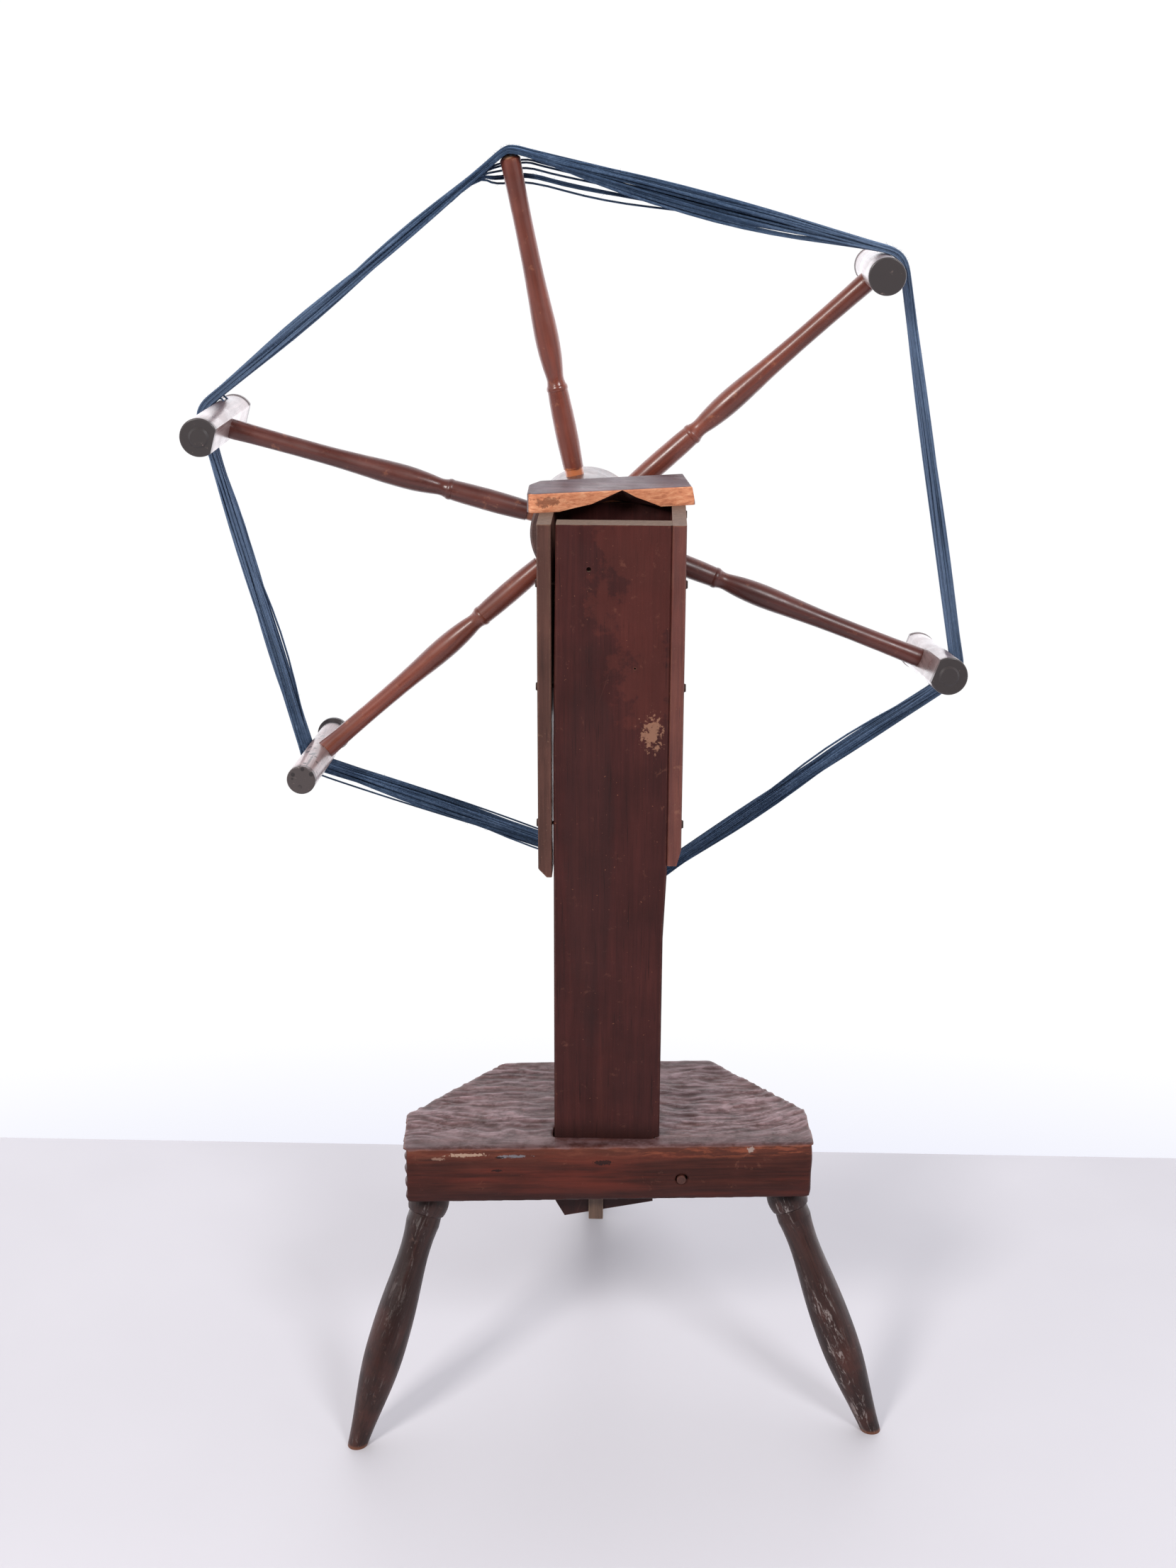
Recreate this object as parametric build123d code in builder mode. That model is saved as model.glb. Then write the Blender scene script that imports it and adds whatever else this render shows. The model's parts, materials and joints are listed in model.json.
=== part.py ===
from build123d import *
import os
from math import acos, atan2, cos, degrees, hypot, pi, radians, sin, tan

# Clock reel for winding skeins of yarn: a six-spoke wheel behind a tall narrow box on a
# three-legged plank. Millimetres, +Z up, origin on the floor under the middle of the
# whole object, wheel axle along Y, front of the box towards -Y.

# ---- driving dimensions ----
axle_x = 3.0
axle_z = 707.0
wheel_y = 8.0                 # plane of the spokes

# wheel: spoke name -> (angle from +X, crossbar distance, crossbar radius, flat, skew)
hub_r = 41.9
hub_front = wheel_y - 27.0
hub_length = 58.0
crossbar_half = 71.0
flat_seat = 11.0               # distance of a D-shaped crossbar's flat from its centre
spokes = {
    "top": (101.6, None, None, False, 0.0),
    "upper_right": (41.8, 292.7, 13.5, False, -2.1),
    "right": (-21.2, 294.2, 14.4, True, -7.7),
    "bottom": (-80.4, 292.0, 14.2, True, 4.2),
    "lower_left": (221.3, 288.0, 11.3, False, 3.2),
    "left": (164.8, 294.0, 14.4, True, 1.4),
}
bare_spoke_end = 283.2         # the spoke that has lost its crossbar
dome_r = (7.7**2 + 4.0**2) / (2 * 4.0)
spoke_tenon_r = 7.0
bar_tenon_r = 5.0
bar_tenon_length = 14.0
mortise_floor = 18.0           # how near the axle the spoke mortises reach

# box
post_front = wheel_y - 127.0
post_thick = 18.0
post_left = axle_x - 19.7
post_right = axle_x + 66.0
box_top = 735.0
side_thick = 10.4
left_gap = 1.3                 # the left board has shrunk away from the post
right_gap = 0.1
box_back = wheel_y - 30.0
back_board_thick = 15.0
back_board_foot = 570.0
left_board_foot = 464.0
right_board_foot = 474.5

# base
plank_top = 244.8
plank_thick = 48.4
base_turn = 3.6
base_centre = (axle_x + 19.3, wheel_y - 66.0)
plank_half = 163.0
plank_front = -78.7
plank_end_back = -16.0
plank_back_left = 85.0
plank_back_right = 93.0
plank_back = 73.4

# clockwork
gear_teeth = 40
gear_module = 1.35
gear_thick = 10.0
worm_pitch_r = 11.0
mesh_slack = 0.35
running_gap = 0.05

# yarn
skein_gap = 0.3

hub_centre = Vector(axle_x, wheel_y, axle_z)
plank_bottom = plank_top - plank_thick
post_back = post_front + post_thick
back_board_front = box_back - back_board_thick
left_face = post_left - left_gap
right_face = post_right + right_gap
box_left = left_face - side_thick
box_right = right_face + side_thick
tooth_pitch = pi * gear_module
gear_pitch_r = gear_teeth * gear_module / 2
gear_y = (post_back + back_board_front) / 2
gear_z = axle_z - worm_pitch_r - gear_pitch_r - mesh_slack
base = Plane(
    origin=(base_centre[0], base_centre[1], 0),
    x_dir=(cos(radians(base_turn)), sin(radians(base_turn)), 0),
    z_dir=(0, 0, 1),
)

os.makedirs("parts", exist_ok=True)


def save(builder, name):
    """Label a finished piece and write it as its own STEP file."""
    builder.part.label = name
    export_step(builder.part, f"parts/{name}.step")


def radial(angle):
    """Unit vector from the axle outwards at an angle in the wheel's plane."""
    return Vector(cos(radians(angle)), 0, sin(radians(angle)))


def skewed_axis(angle, skew):
    """Long axis of a crossbar turned about its own spoke."""
    across = Vector(-sin(radians(angle)), 0, cos(radians(angle)))
    return Vector(0, 1, 0) * cos(radians(skew)) + across * sin(radians(skew))


def seat_of(bar_r, flat):
    """Distance from a crossbar's centre to the flat its spoke's shoulder meets."""
    return flat_seat if flat else (bar_r**2 - 7.7**2) ** 0.5 - 0.2


# ---- post and box ----
tenon_right = axle_x + 58.8
wedge_left = axle_x + 7.7
wedge_right = axle_x + 19.1
wedge_thick = 4.0
nail_r = 1.3
nail_rows = (690.0, 612.0, 505.0)
back_nail_rows = (725.0, 650.0, 590.0)
post_nail_y = post_front + post_thick / 2
back_nail_y = box_back - back_board_thick / 2
axle_tip_r = 7.0
axle_r = 9.0
bearing_floor = post_front + 5.0


def nail_places(rows, y, face, into):
    """Planes on a side board's outer face, looking into the wood."""
    return [Plane(origin=(face, y, z), x_dir=(0, 1, 0), z_dir=(-into, 0, 0)) for z in rows]


left_nails = nail_places(nail_rows, post_nail_y, box_left, 1) + nail_places(
    back_nail_rows, back_nail_y, box_left, 1
)
right_nails = nail_places(nail_rows, post_nail_y, box_right, -1) + nail_places(
    back_nail_rows, back_nail_y, box_right, -1
)
nail_length = 32.0
arbor_r = 5.0
arbor_journal_r = 4.0


def make_post():
    """Long front board of the box, tenoned through the plank and sawn off askew."""
    with BuildPart() as post:
        with BuildSketch(Plane.XZ.offset(-post_front)):
            with BuildLine():
                Polyline(
                    (post_left, 187.0),
                    (post_left, 560.0),
                    (post_left + 2.2, box_top),
                    (post_right, box_top),
                    (post_right, 470.0),
                    (post_right - 2.4, 415.0),
                    (post_right - 2.8, plank_top),
                    (tenon_right, plank_top),
                    (tenon_right, 187.0),
                    (post_left + 8.0, 172.5),
                    close=True,
                )
            make_face()
        extrude(amount=-post_thick)
        front_edges = post.edges().filter_by(Axis.Z).group_by(Axis.Y)[0]
        chamfer(front_edges.filter_by(lambda e: e.length > 100), 1.2)
        with Locations(Plane(origin=(axle_x, post_back, axle_z), z_dir=(0, 1, 0))):
            Hole(axle_tip_r + running_gap, depth=post_back - bearing_floor)
        with Locations(Plane(origin=(axle_x + 6.3, post_front, 702.5), z_dir=(0, -1, 0))):
            Hole(1.8, depth=3.5)
        with Locations(Plane(origin=(axle_x + 40.3, post_front, 628.8), z_dir=(0, -1, 0))):
            Hole(0.8, depth=4.0)
        with Locations(*left_nails[:3], *right_nails[:3]):
            Hole(nail_r + running_gap, depth=nail_length + 1)
    save(post, "post")


def make_side_board(name, outer, inner, foot, nails, slope):
    """Thin board nailed to the edges of the post and the back board."""
    out = 1 if outer > inner else -1
    with BuildPart() as board:
        with BuildSketch(Plane.XZ.offset(-post_front)):
            with BuildLine():
                Polyline(
                    (inner, foot),
                    (inner, box_top),
                    (outer, box_top),
                    (outer, foot + slope[1]),
                    (outer - out * slope[0], foot),
                    close=True,
                )
            make_face()
        extrude(amount=-(box_back - post_front))
        uprights = board.edges().filter_by(Axis.Z).group_by(Axis.Y)
        chamfer(uprights[0] + uprights[-1], 0.8)
        with Locations(*nails):
            Hole(nail_r + running_gap, depth=side_thick + 2)
        with Locations(Plane(origin=(outer, gear_y, gear_z), z_dir=(out, 0, 0))):
            Hole(arbor_journal_r + running_gap, depth=side_thick + 2)
    save(board, name)


def make_back_board():
    """Short board between the side boards; it carries the axle's back bearing."""
    with BuildPart() as back:
        with BuildSketch(Plane.XZ.offset(-back_board_front)):
            with BuildLine():
                Polyline(
                    (left_face, back_board_foot),
                    (left_face, box_top),
                    (right_face, box_top),
                    (right_face, back_board_foot),
                    close=True,
                )
            make_face()
        extrude(amount=-back_board_thick)
        with Locations(Plane(origin=(axle_x, box_back, axle_z), z_dir=(0, 1, 0))):
            Hole(axle_r + running_gap, depth=back_board_thick + 2)
        with Locations(*left_nails[3:], *right_nails[3:]):
            Hole(nail_r + running_gap, depth=nail_length + 1)
    save(back, "back_board")


def make_nails(name, places):
    """Hand-made nails with low round heads."""
    with BuildPart() as nails:
        for place in places:
            with BuildSketch(place.offset(-nail_length)):
                Circle(nail_r)
            extrude(amount=nail_length)
            with BuildSketch(place):
                Circle(3.4)
            extrude(amount=1.4, taper=25)
    save(nails, name)


def make_lid():
    """Broken remnant of the box's loose lid, thicker at the back, lying askew over the opening."""
    thick = 14.0
    rise = 0.085
    front_left = (axle_x - 40.5, wheel_y - 88.0)
    front_right = (axle_x + 84.0, wheel_y - 50.1)
    back_right = (axle_x + 78.0, wheel_y - 13.4)
    front_run = Vector(*front_right) - Vector(*front_left)
    back_run = Vector(*back_right) - Vector(*front_right)
    backward = Vector(-front_run.Y, front_run.X, 0).normalized()
    inward = Vector(-back_run.Y, back_run.X, 0).normalized()
    with BuildPart() as lid:
        with BuildSketch(Plane.XY.offset(box_top)):
            with BuildLine():
                Polyline(
                    front_left,
                    front_right,
                    back_right,
                    (axle_x - 33.0, wheel_y - 48.0),
                    (axle_x - 40.5, wheel_y - 60.0),
                    close=True,
                )
            make_face()
        extrude(amount=thick + 6)
        corners = lid.edges().filter_by(Axis.Z).sort_by(Axis.X)
        fillet(corners[:3], 5.0)
        fillet(corners[-2:], 3.0)
        top = Plane(
            origin=(*front_left, box_top + thick),
            x_dir=front_run,
            z_dir=Vector(0, 0, 1) - backward * rise,
        )
        split(bisect_by=top, keep=Keep.BOTTOM)
        end = Plane(
            origin=(*front_right, box_top),
            x_dir=back_run,
            z_dir=Vector(0, 0, 3.0) - inward * thick,
        )
        split(bisect_by=end, keep=Keep.BOTTOM)
        top_edges = lid.faces().sort_by(Axis.Z)[-1].edges()
        fillet(top_edges, 1.5)
        split_face = Plane(
            origin=(*front_left, box_top),
            x_dir=front_run,
            z_dir=Vector(front_run.Y, -front_run.X, 0),
        )
        with BuildSketch(split_face.offset(2)):
            with BuildLine():
                Polyline(
                    (17, -1), (34, 2.4), (48, 4.8), (61, 9.9), (73, thick + 0.8), (84, 8.6), (95, 4.2), (107, -1),
                    close=True,
                )
            make_face()
        with BuildSketch(split_face.offset(-26)):
            with BuildLine():
                Polyline(
                    (56, -1), (60, -0.6), (64, 0), (68, 0.9), (72, 1.5), (76, 0.8), (80, 0), (84, -1),
                    close=True,
                )
            make_face()
        loft(mode=Mode.SUBTRACT)
    save(lid, "lid")


# ---- base ----
post_mortise_gap = 0.3
leg_tenon_r = 10.0
leg_tenon_length = 30.0
# leg name -> (socket, foot) in the plank's own plane, measured from the base centre
legs = {
    "leg_front_left": ((-139.4, -47.2), (-202.4, -116.1)),
    "leg_front_right": ((140.0, -48.4), (212.4, -108.0)),
    "leg_rear": ((0.0, 50.0), (0.0, 249.0)),
}
# share of the way from plank to floor -> radius
leg_profile = (
    (0.15, 13.6),
    (0.27, 12.0),
    (0.42, 14.2),
    (0.58, 15.7),
    (0.71, 15.0),
    (0.88, 10.5),
    (1.0, 7.7),
)
plug_r = 3.6
plug_length = 26.0


def leg_line(name):
    """Socket point under the plank, foot point on the floor."""
    socket, foot = legs[name]
    top = base.from_local_coords(Vector(socket[0], socket[1], plank_bottom))
    return top, base.from_local_coords(Vector(foot[0], foot[1], 0))


def leg_plane(name):
    """Plane under the plank whose normal runs down the leg."""
    top, foot = leg_line(name)
    return Plane(origin=top, z_dir=(foot - top).normalized())


def plug_plane():
    """Plane on the plank's front face at the round plug."""
    spot = base.from_local_coords(Vector(57.0, plank_front, plank_top - 30.3))
    return Plane(origin=spot, z_dir=-base.y_dir)


def nail_hole_plane(height):
    """Plane on the plank's front face at an empty nail hole."""
    spot = base.from_local_coords(Vector(-79.7, plank_front, height))
    return Plane(origin=spot, z_dir=-base.y_dir)


def make_plank():
    """Thick half-hexagon plank with sockets for three legs and a mortise for the post."""
    with BuildPart() as plank:
        with BuildSketch(base.offset(plank_bottom)):
            with BuildLine():
                Polyline(
                    (-plank_half, plank_front),
                    (plank_half, plank_front),
                    (plank_half, plank_end_back),
                    (plank_back_right, plank_back),
                    (-plank_back_left, plank_back),
                    (-plank_half, plank_end_back),
                    close=True,
                )
            make_face()
        extrude(amount=plank_thick)
        fillet(plank.edges().filter_by(Axis.Z), 6.0)
        fillet(plank.faces().sort_by(Axis.Z)[-1].edges(), 3.0)
        fillet(plank.faces().sort_by(Axis.Z)[0].edges(), 2.0)
        with BuildSketch(Plane.XY.offset(plank_bottom - 1)):
            with BuildLine():
                Polyline(
                    (post_left - post_mortise_gap, post_front - post_mortise_gap),
                    (tenon_right + post_mortise_gap, post_front - post_mortise_gap),
                    (tenon_right + post_mortise_gap, post_back + post_mortise_gap),
                    (post_left - post_mortise_gap, post_back + post_mortise_gap),
                    close=True,
                )
            make_face()
        extrude(amount=plank_thick + 2, mode=Mode.SUBTRACT)
        with BuildSketch(Plane.XY.offset(plank_bottom - 1)):
            with BuildLine():
                Polyline(
                    (wedge_left - 0.1, post_front),
                    (wedge_left - 0.1, post_front - wedge_thick - 0.1),
                    (wedge_right + 0.1, post_front - wedge_thick - 0.1),
                    (wedge_right + 0.1, post_front),
                    close=True,
                )
            make_face()
        extrude(amount=31, mode=Mode.SUBTRACT)
        for name in legs:
            socket = leg_plane(name)
            with BuildSketch(socket.offset(-leg_tenon_length - 0.5)):
                Circle(leg_tenon_r + running_gap)
            extrude(amount=leg_tenon_length + 12, mode=Mode.SUBTRACT)
        with Locations(plug_plane()):
            Hole(plug_r + running_gap, depth=plug_length)
        with Locations(nail_hole_plane(229.8), nail_hole_plane(217.6)):
            Hole(1.4, depth=8.0)
    save(plank, "plank")


def make_leg(name):
    """Splayed turned leg: bead under the plank, slim neck, swelling, small flat foot."""
    top, foot = leg_line(name)
    line = leg_plane(name)
    length = (foot - top).length
    side = Plane(origin=top, x_dir=line.z_dir, z_dir=line.x_dir)
    with BuildPart() as leg:
        with BuildSketch(side):
            with BuildLine():
                Line((-14.0, 0), (-14.0, 12.4))
                Line((-14.0, 12.4), (0.012 * length, 12.6))
                ThreePointArc((0.012 * length, 12.6), (0.062 * length, 16.2), (0.108 * length, 14.6))
                Line((0.108 * length, 14.6), (0.114 * length, 13.2))
                Line((0.114 * length, 13.2), (0.15 * length, leg_profile[0][1]))
                Spline(*[(share * length, r) for share, r in leg_profile])
                Line((length, leg_profile[-1][1]), (length + 10, 6.0))
                Line((length + 10, 6.0), (length + 10, 0))
                Line((length + 10, 0), (-14.0, 0))
            make_face()
        revolve(axis=Axis(top, line.z_dir))
        split(bisect_by=Plane.XY.offset(plank_bottom), keep=Keep.BOTTOM)
        split(bisect_by=Plane.XY, keep=Keep.TOP)
        with BuildSketch(line.offset(-leg_tenon_length)):
            Circle(leg_tenon_r)
        extrude(amount=leg_tenon_length + 10)
    save(leg, name)


def make_edge_plug():
    """Round wooden plug in the plank's front edge."""
    with BuildPart() as plug:
        with BuildSketch(plug_plane().offset(-plug_length + 0.5)):
            Circle(plug_r)
        extrude(amount=plug_length)
        fillet(plug.faces().sort_by(Axis.Y)[0].edges(), 0.4)
    save(plug, "edge_plug")


def make_wedge():
    """Wedge driven up beside the post's tenon, left long below the plank."""
    with BuildPart() as wedge:
        with BuildSketch(Plane.YZ.offset(wedge_left)):
            with BuildLine():
                Polyline(
                    (post_front, 171.5),
                    (post_front - wedge_thick, 171.5),
                    (post_front - wedge_thick, plank_bottom + 4),
                    (post_front - 1.2, plank_bottom + 28),
                    (post_front, plank_bottom + 28),
                    close=True,
                )
            make_face()
        extrude(amount=wedge_right - wedge_left)
        chamfer(wedge.faces().sort_by(Axis.Z)[0].edges(), 0.8)
    save(wedge, "tenon_wedge")


# ---- wheel ----
def make_axle():
    """Wooden axle: journals in post and back board, shoulder behind it, hub seat."""
    stations = (
        (bearing_floor + 0.5, axle_tip_r),
        (gear_y + 17.0, axle_tip_r),
        (gear_y + 17.0, axle_r),
        (box_back + 1.4, axle_r),
        (box_back + 1.4, axle_r + 1),
        (hub_front + hub_length + 5, axle_r + 1),
        (hub_front + hub_length + 7, axle_r - 2),
    )
    with BuildPart() as axle:
        with BuildSketch(Plane(origin=(axle_x, 0, axle_z), x_dir=(1, 0, 0), z_dir=(0, 0, 1))):
            with BuildLine():
                Polyline(
                    (0, stations[0][0]),
                    *[(r, y) for y, r in stations],
                    (0, stations[-1][0]),
                    close=True,
                )
            make_face()
        revolve(axis=Axis((axle_x, 0, axle_z), (0, 1, 0)))
        with Locations(worm_pin_plane()):
            Cylinder(worm_pin_r + running_gap, 60, mode=Mode.SUBTRACT)
    save(axle, "axle")


def make_hub():
    """Thick wooden drum with a mortise for each spoke."""
    back = Plane.XZ.offset(-hub_front)
    with BuildPart() as hub:
        with BuildSketch(back):
            with Locations((axle_x, axle_z)):
                Circle(hub_r)
                Circle(axle_r + 1 + 0.02, mode=Mode.SUBTRACT)
        extrude(amount=-hub_length)
        chamfer(hub.edges().filter_by(GeomType.CIRCLE).group_by(SortBy.RADIUS)[-1], 1.5)
        for angle, *_ in spokes.values():
            mouth = Plane(origin=hub_centre + radial(angle) * (hub_r + 1), z_dir=radial(angle))
            with Locations(mouth):
                Hole(spoke_tenon_r + 0.02, depth=hub_r + 1 - mortise_floor)
    save(hub, "hub")


def spoke_end(name):
    """Distance from the axle to the spoke's shoulder."""
    angle, reach, bar_r, flat, skew = spokes[name]
    return bare_spoke_end if reach is None else reach - seat_of(bar_r, flat)


def make_spoke(name):
    """Turned spoke: plain inner barrel, neck, swelling, slender outer half that flares."""
    angle, reach, bar_r, flat, skew = spokes[name]
    out = radial(angle)
    end = spoke_end(name)
    with BuildPart() as spoke:
        with BuildSketch(Plane(origin=hub_centre, x_dir=out, z_dir=(0, -1, 0))):
            with BuildLine():
                Line((mortise_floor + 0.5, 0), (mortise_floor + 0.5, spoke_tenon_r))
                Line((mortise_floor + 0.5, spoke_tenon_r), (46.5, spoke_tenon_r))
                Line((46.5, spoke_tenon_r), (46.9, 7.7))
                Spline((46.9, 7.7), (62.0, 8.3), (107.0, 7.8))
                ThreePointArc((107.0, 7.8), (109.5, 8.2), (111.5, 7.4))
                Spline(
                    (111.5, 7.4),
                    (115.0, 6.6),
                    (121.0, 7.1),
                    (144.0, 9.1),
                    (178.0, 8.0),
                    (226.0, 7.0),
                    (258.0, 7.2),
                    (end - 4.0, 7.7),
                )
                if reach is None:
                    CenterArc((end - dome_r, 0), dome_r, 0, degrees(acos(1 - 4.0 / dome_r)))
                else:
                    Line((end - 4.0, 7.7), (end, 7.6))
                    Line((end, 7.6), (end, bar_tenon_r))
                    Line((end, bar_tenon_r), (end + bar_tenon_length, bar_tenon_r))
                    Line((end + bar_tenon_length, bar_tenon_r), (end + bar_tenon_length, 0))
                tip = end if reach is None else end + bar_tenon_length
                Line((tip, 0), (mortise_floor + 0.5, 0))
            make_face()
        revolve(axis=Axis(hub_centre, out))
    save(spoke, f"spoke_{name}")


def make_crossbar(name):
    """Turned crossbar with a lip at its back end; some are flat towards the hub."""
    angle, reach, bar_r, flat, skew = spokes[name]
    centre = hub_centre + radial(angle) * reach
    middle = Plane(origin=centre, x_dir=radial(angle), z_dir=skewed_axis(angle, skew))
    seat = seat_of(bar_r, flat)
    lip_r = bar_r + (2.4 if bar_r < 13 else 0.7)
    boss = 1.3 if flat else 0.0
    near = -crossbar_half
    with BuildPart() as bar:
        with BuildSketch(Plane(origin=centre, x_dir=middle.z_dir, z_dir=middle.y_dir)):
            with BuildLine():
                Polyline((near - boss, 0), (near - boss, 6.2), (near, 7.8), (near, bar_r - 1.2))
                ThreePointArc(
                    (near, bar_r - 1.2),
                    (near + 0.35, bar_r - 0.35),
                    (near + 1.2, bar_r),
                )
                Polyline(
                    (near + 1.2, bar_r),
                    (crossbar_half - 5, bar_r),
                    (crossbar_half - 3.5, lip_r),
                    (crossbar_half - 0.5, lip_r),
                    (crossbar_half, lip_r - 0.5),
                    (crossbar_half, 0),
                    (near - boss, 0),
                )
            make_face()
        revolve(axis=Axis(centre, middle.z_dir))
        if flat:
            with BuildSketch(middle.offset(-crossbar_half - 2)):
                with Locations((-flat_seat - bar_r, 0)):
                    Rectangle(2 * bar_r, 3 * bar_r)
            extrude(amount=2 * crossbar_half + 4, mode=Mode.SUBTRACT)
        with Locations(Plane(origin=centre - radial(angle) * bar_r, z_dir=-radial(angle))):
            CounterBoreHole(
                bar_tenon_r + 0.02,
                7.75,
                counter_bore_depth=bar_r - seat,
                depth=bar_r - seat + bar_tenon_length + 0.5,
            )
    save(bar, f"crossbar_{name}")


# ---- worm, gear and clicker ----
worm_root_r = worm_pitch_r - 1.5
worm_tip_r = worm_pitch_r + 0.9
worm_turns = 5
worm_length = (worm_turns + 1) * tooth_pitch + 6.0
worm_pin_r = 1.5
gear_root_r = gear_pitch_r - 1.5
gear_tip_r = gear_pitch_r + 0.9
peg_circle_r = 19.0
peg_r = 3.0


def worm_pin_plane():
    """Cross pin near the worm's back end."""
    return Plane(
        origin=(axle_x, gear_y + worm_length / 2 - 2.6, axle_z),
        z_dir=(1, 0, 0),
    )


def make_worm():
    """Wooden sleeve with a one-start right-hand thread, pinned to the axle."""
    start_y = gear_y - (worm_turns / 2 + 0.25) * tooth_pitch
    with BuildPart() as worm:
        with BuildSketch(Plane.XZ.offset(-(gear_y - worm_length / 2))):
            with Locations((axle_x, axle_z)):
                Circle(worm_root_r)
        extrude(amount=-worm_length)
        with BuildLine():
            path = Helix(
                pitch=tooth_pitch,
                height=worm_turns * tooth_pitch,
                radius=worm_root_r,
                center=(axle_x, start_y, axle_z),
                direction=(0, 1, 0),
            )
        with BuildSketch(Plane(origin=path @ 0, x_dir=(1, 0, 0), z_dir=path % 0)):
            with BuildLine():
                Polyline(
                    (-0.4, -0.95),
                    (worm_tip_r - worm_root_r, -0.4),
                    (worm_tip_r - worm_root_r, 0.4),
                    (-0.4, 0.95),
                    close=True,
                )
            make_face()
        sweep(path=path, is_frenet=True)
        with BuildSketch(Plane.XZ.offset(-(gear_y - worm_length / 2 - 1))):
            with Locations((axle_x, axle_z)):
                Circle(axle_tip_r + 0.02)
        extrude(amount=-(worm_length + 2), mode=Mode.SUBTRACT)
        with Locations(worm_pin_plane()):
            Cylinder(worm_pin_r + running_gap, 60, mode=Mode.SUBTRACT)
    save(worm, "worm")


def make_worm_pin():
    """Iron pin that locks the worm to the axle."""
    with BuildPart() as pin:
        with BuildSketch(worm_pin_plane().offset(-worm_root_r)):
            Circle(worm_pin_r)
        extrude(amount=2 * worm_root_r)
    save(pin, "worm_pin")


def make_gear():
    """Forty-tooth wooden wheel under the worm; one turn counts a full skein."""
    with BuildPart() as gear:
        with BuildSketch(Plane.YZ.offset(axle_x - gear_thick / 2)):
            with Locations((gear_y, gear_z)):
                Circle(gear_root_r)
                with PolarLocations(gear_root_r, gear_teeth, start_angle=90):
                    Polygon(
                        (-0.5, -1.05),
                        (gear_tip_r - gear_root_r, -0.4),
                        (gear_tip_r - gear_root_r, 0.4),
                        (-0.5, 1.05),
                        align=None,
                    )
        extrude(amount=gear_thick)
        with Locations(Plane(origin=(axle_x + gear_thick / 2, gear_y, gear_z), z_dir=(1, 0, 0))):
            Hole(arbor_r + 0.02, depth=gear_thick + 2)
        with Locations(peg_plane()):
            Hole(peg_r + 0.02, depth=gear_thick - 2)
    save(gear, "gear")


def peg_plane():
    """Face of the gear at the trip peg, which stands at the top of its circle at rest."""
    return Plane(
        origin=(axle_x + gear_thick / 2, gear_y, gear_z + peg_circle_r),
        z_dir=(1, 0, 0),
    )


def make_gear_arbor():
    """Wooden arbor across the box, turning in the side boards."""
    ends = (
        (box_left + 0.6, arbor_journal_r),
        (left_face + 0.6, arbor_journal_r),
        (left_face + 0.6, arbor_r),
        (right_face - 0.6, arbor_r),
        (right_face - 0.6, arbor_journal_r),
        (box_right - 0.6, arbor_journal_r),
    )
    with BuildPart() as arbor:
        with BuildSketch(Plane(origin=(0, gear_y, gear_z), x_dir=(1, 0, 0), z_dir=(0, -1, 0))):
            with BuildLine():
                Polyline((ends[0][0], 0), *ends, (ends[-1][0], 0), close=True)
            make_face()
        revolve(axis=Axis((0, gear_y, gear_z), (1, 0, 0)))
    save(arbor, "gear_arbor")


def make_trip_peg():
    """Peg in the gear's face that lifts the clicker once a turn."""
    with BuildPart() as peg:
        with BuildSketch(peg_plane().offset(-(gear_thick - 2.5))):
            Circle(peg_r)
        extrude(amount=gear_thick - 2.5 + 13.0)
        fillet(peg.faces().sort_by(Axis.X)[-1].edges(), 0.8)
    save(peg, "trip_peg")


clicker_left = axle_x + 7.5
clicker_wide = 13.0
clicker_thick = 2.4
clicker_foot = 503.0
clicker_lift = 2.0             # how far the slat's tip stands into the peg's path
clicker_tip = gear_z - peg_circle_r - peg_r + clicker_lift
clicker_swing = radians(7.0)
block_top = 524.0
block_thick = 30.0


def make_clicker():
    """Springy wooden slat whose tip the trip peg bends and lets go."""
    with BuildPart() as clicker:
        with BuildSketch(Plane.XY.offset(clicker_foot)):
            with Locations((clicker_left + clicker_wide / 2, gear_y)):
                Rectangle(clicker_wide, clicker_thick)
        extrude(amount=clicker_tip - clicker_foot)
        chamfer(clicker.faces().sort_by(Axis.Z)[-1].edges().filter_by(Axis.X), 0.9)
        foot_edges = clicker.faces().sort_by(Axis.Z)[0].edges().filter_by(Axis.X)
        fillet(foot_edges, clicker_thick / 2 - 0.01)
    save(clicker, "clicker")


def make_clicker_block():
    """Bracket on the post's back with a flared socket for the clicker's foot."""
    mouth = clicker_thick + 2 * (block_top - clicker_foot) * tan(clicker_swing) + 0.6
    with BuildPart() as block:
        with BuildSketch(Plane.XY.offset(block_top - block_thick)):
            with BuildLine():
                Polyline(
                    (clicker_left - 9, post_back),
                    (clicker_left - 9, gear_y + 12),
                    (clicker_left + clicker_wide + 9, gear_y + 12),
                    (clicker_left + clicker_wide + 9, post_back),
                    close=True,
                )
            make_face()
        extrude(amount=block_thick)
        with BuildSketch(Plane.XY.offset(clicker_foot - 0.3)):
            with Locations((clicker_left + clicker_wide / 2, gear_y)):
                Rectangle(clicker_wide + 0.6, clicker_thick + 0.2)
        with BuildSketch(Plane.XY.offset(block_top + 1)):
            with Locations((clicker_left + clicker_wide / 2, gear_y)):
                Rectangle(clicker_wide + 0.6, mouth)
        loft(mode=Mode.SUBTRACT)
    save(block, "clicker_block")


# ---- yarn ----
# support name -> (skein's middle in front of or behind the spokes, width, thickness)
skein_lay = {
    "top": (3.0, 18.0, 6.0),
    "upper_right": (-22.0, 28.0, 5.5),
    "right": (-3.0, 26.0, 6.0),
    "bottom": (40.0, 24.0, 6.0),
    "lower_left": (30.0, 24.0, 6.0),
    "left": (38.0, 22.0, 6.5),
}
tip_round = 9.0                # how the skein rounds over the bare spoke's end


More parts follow.
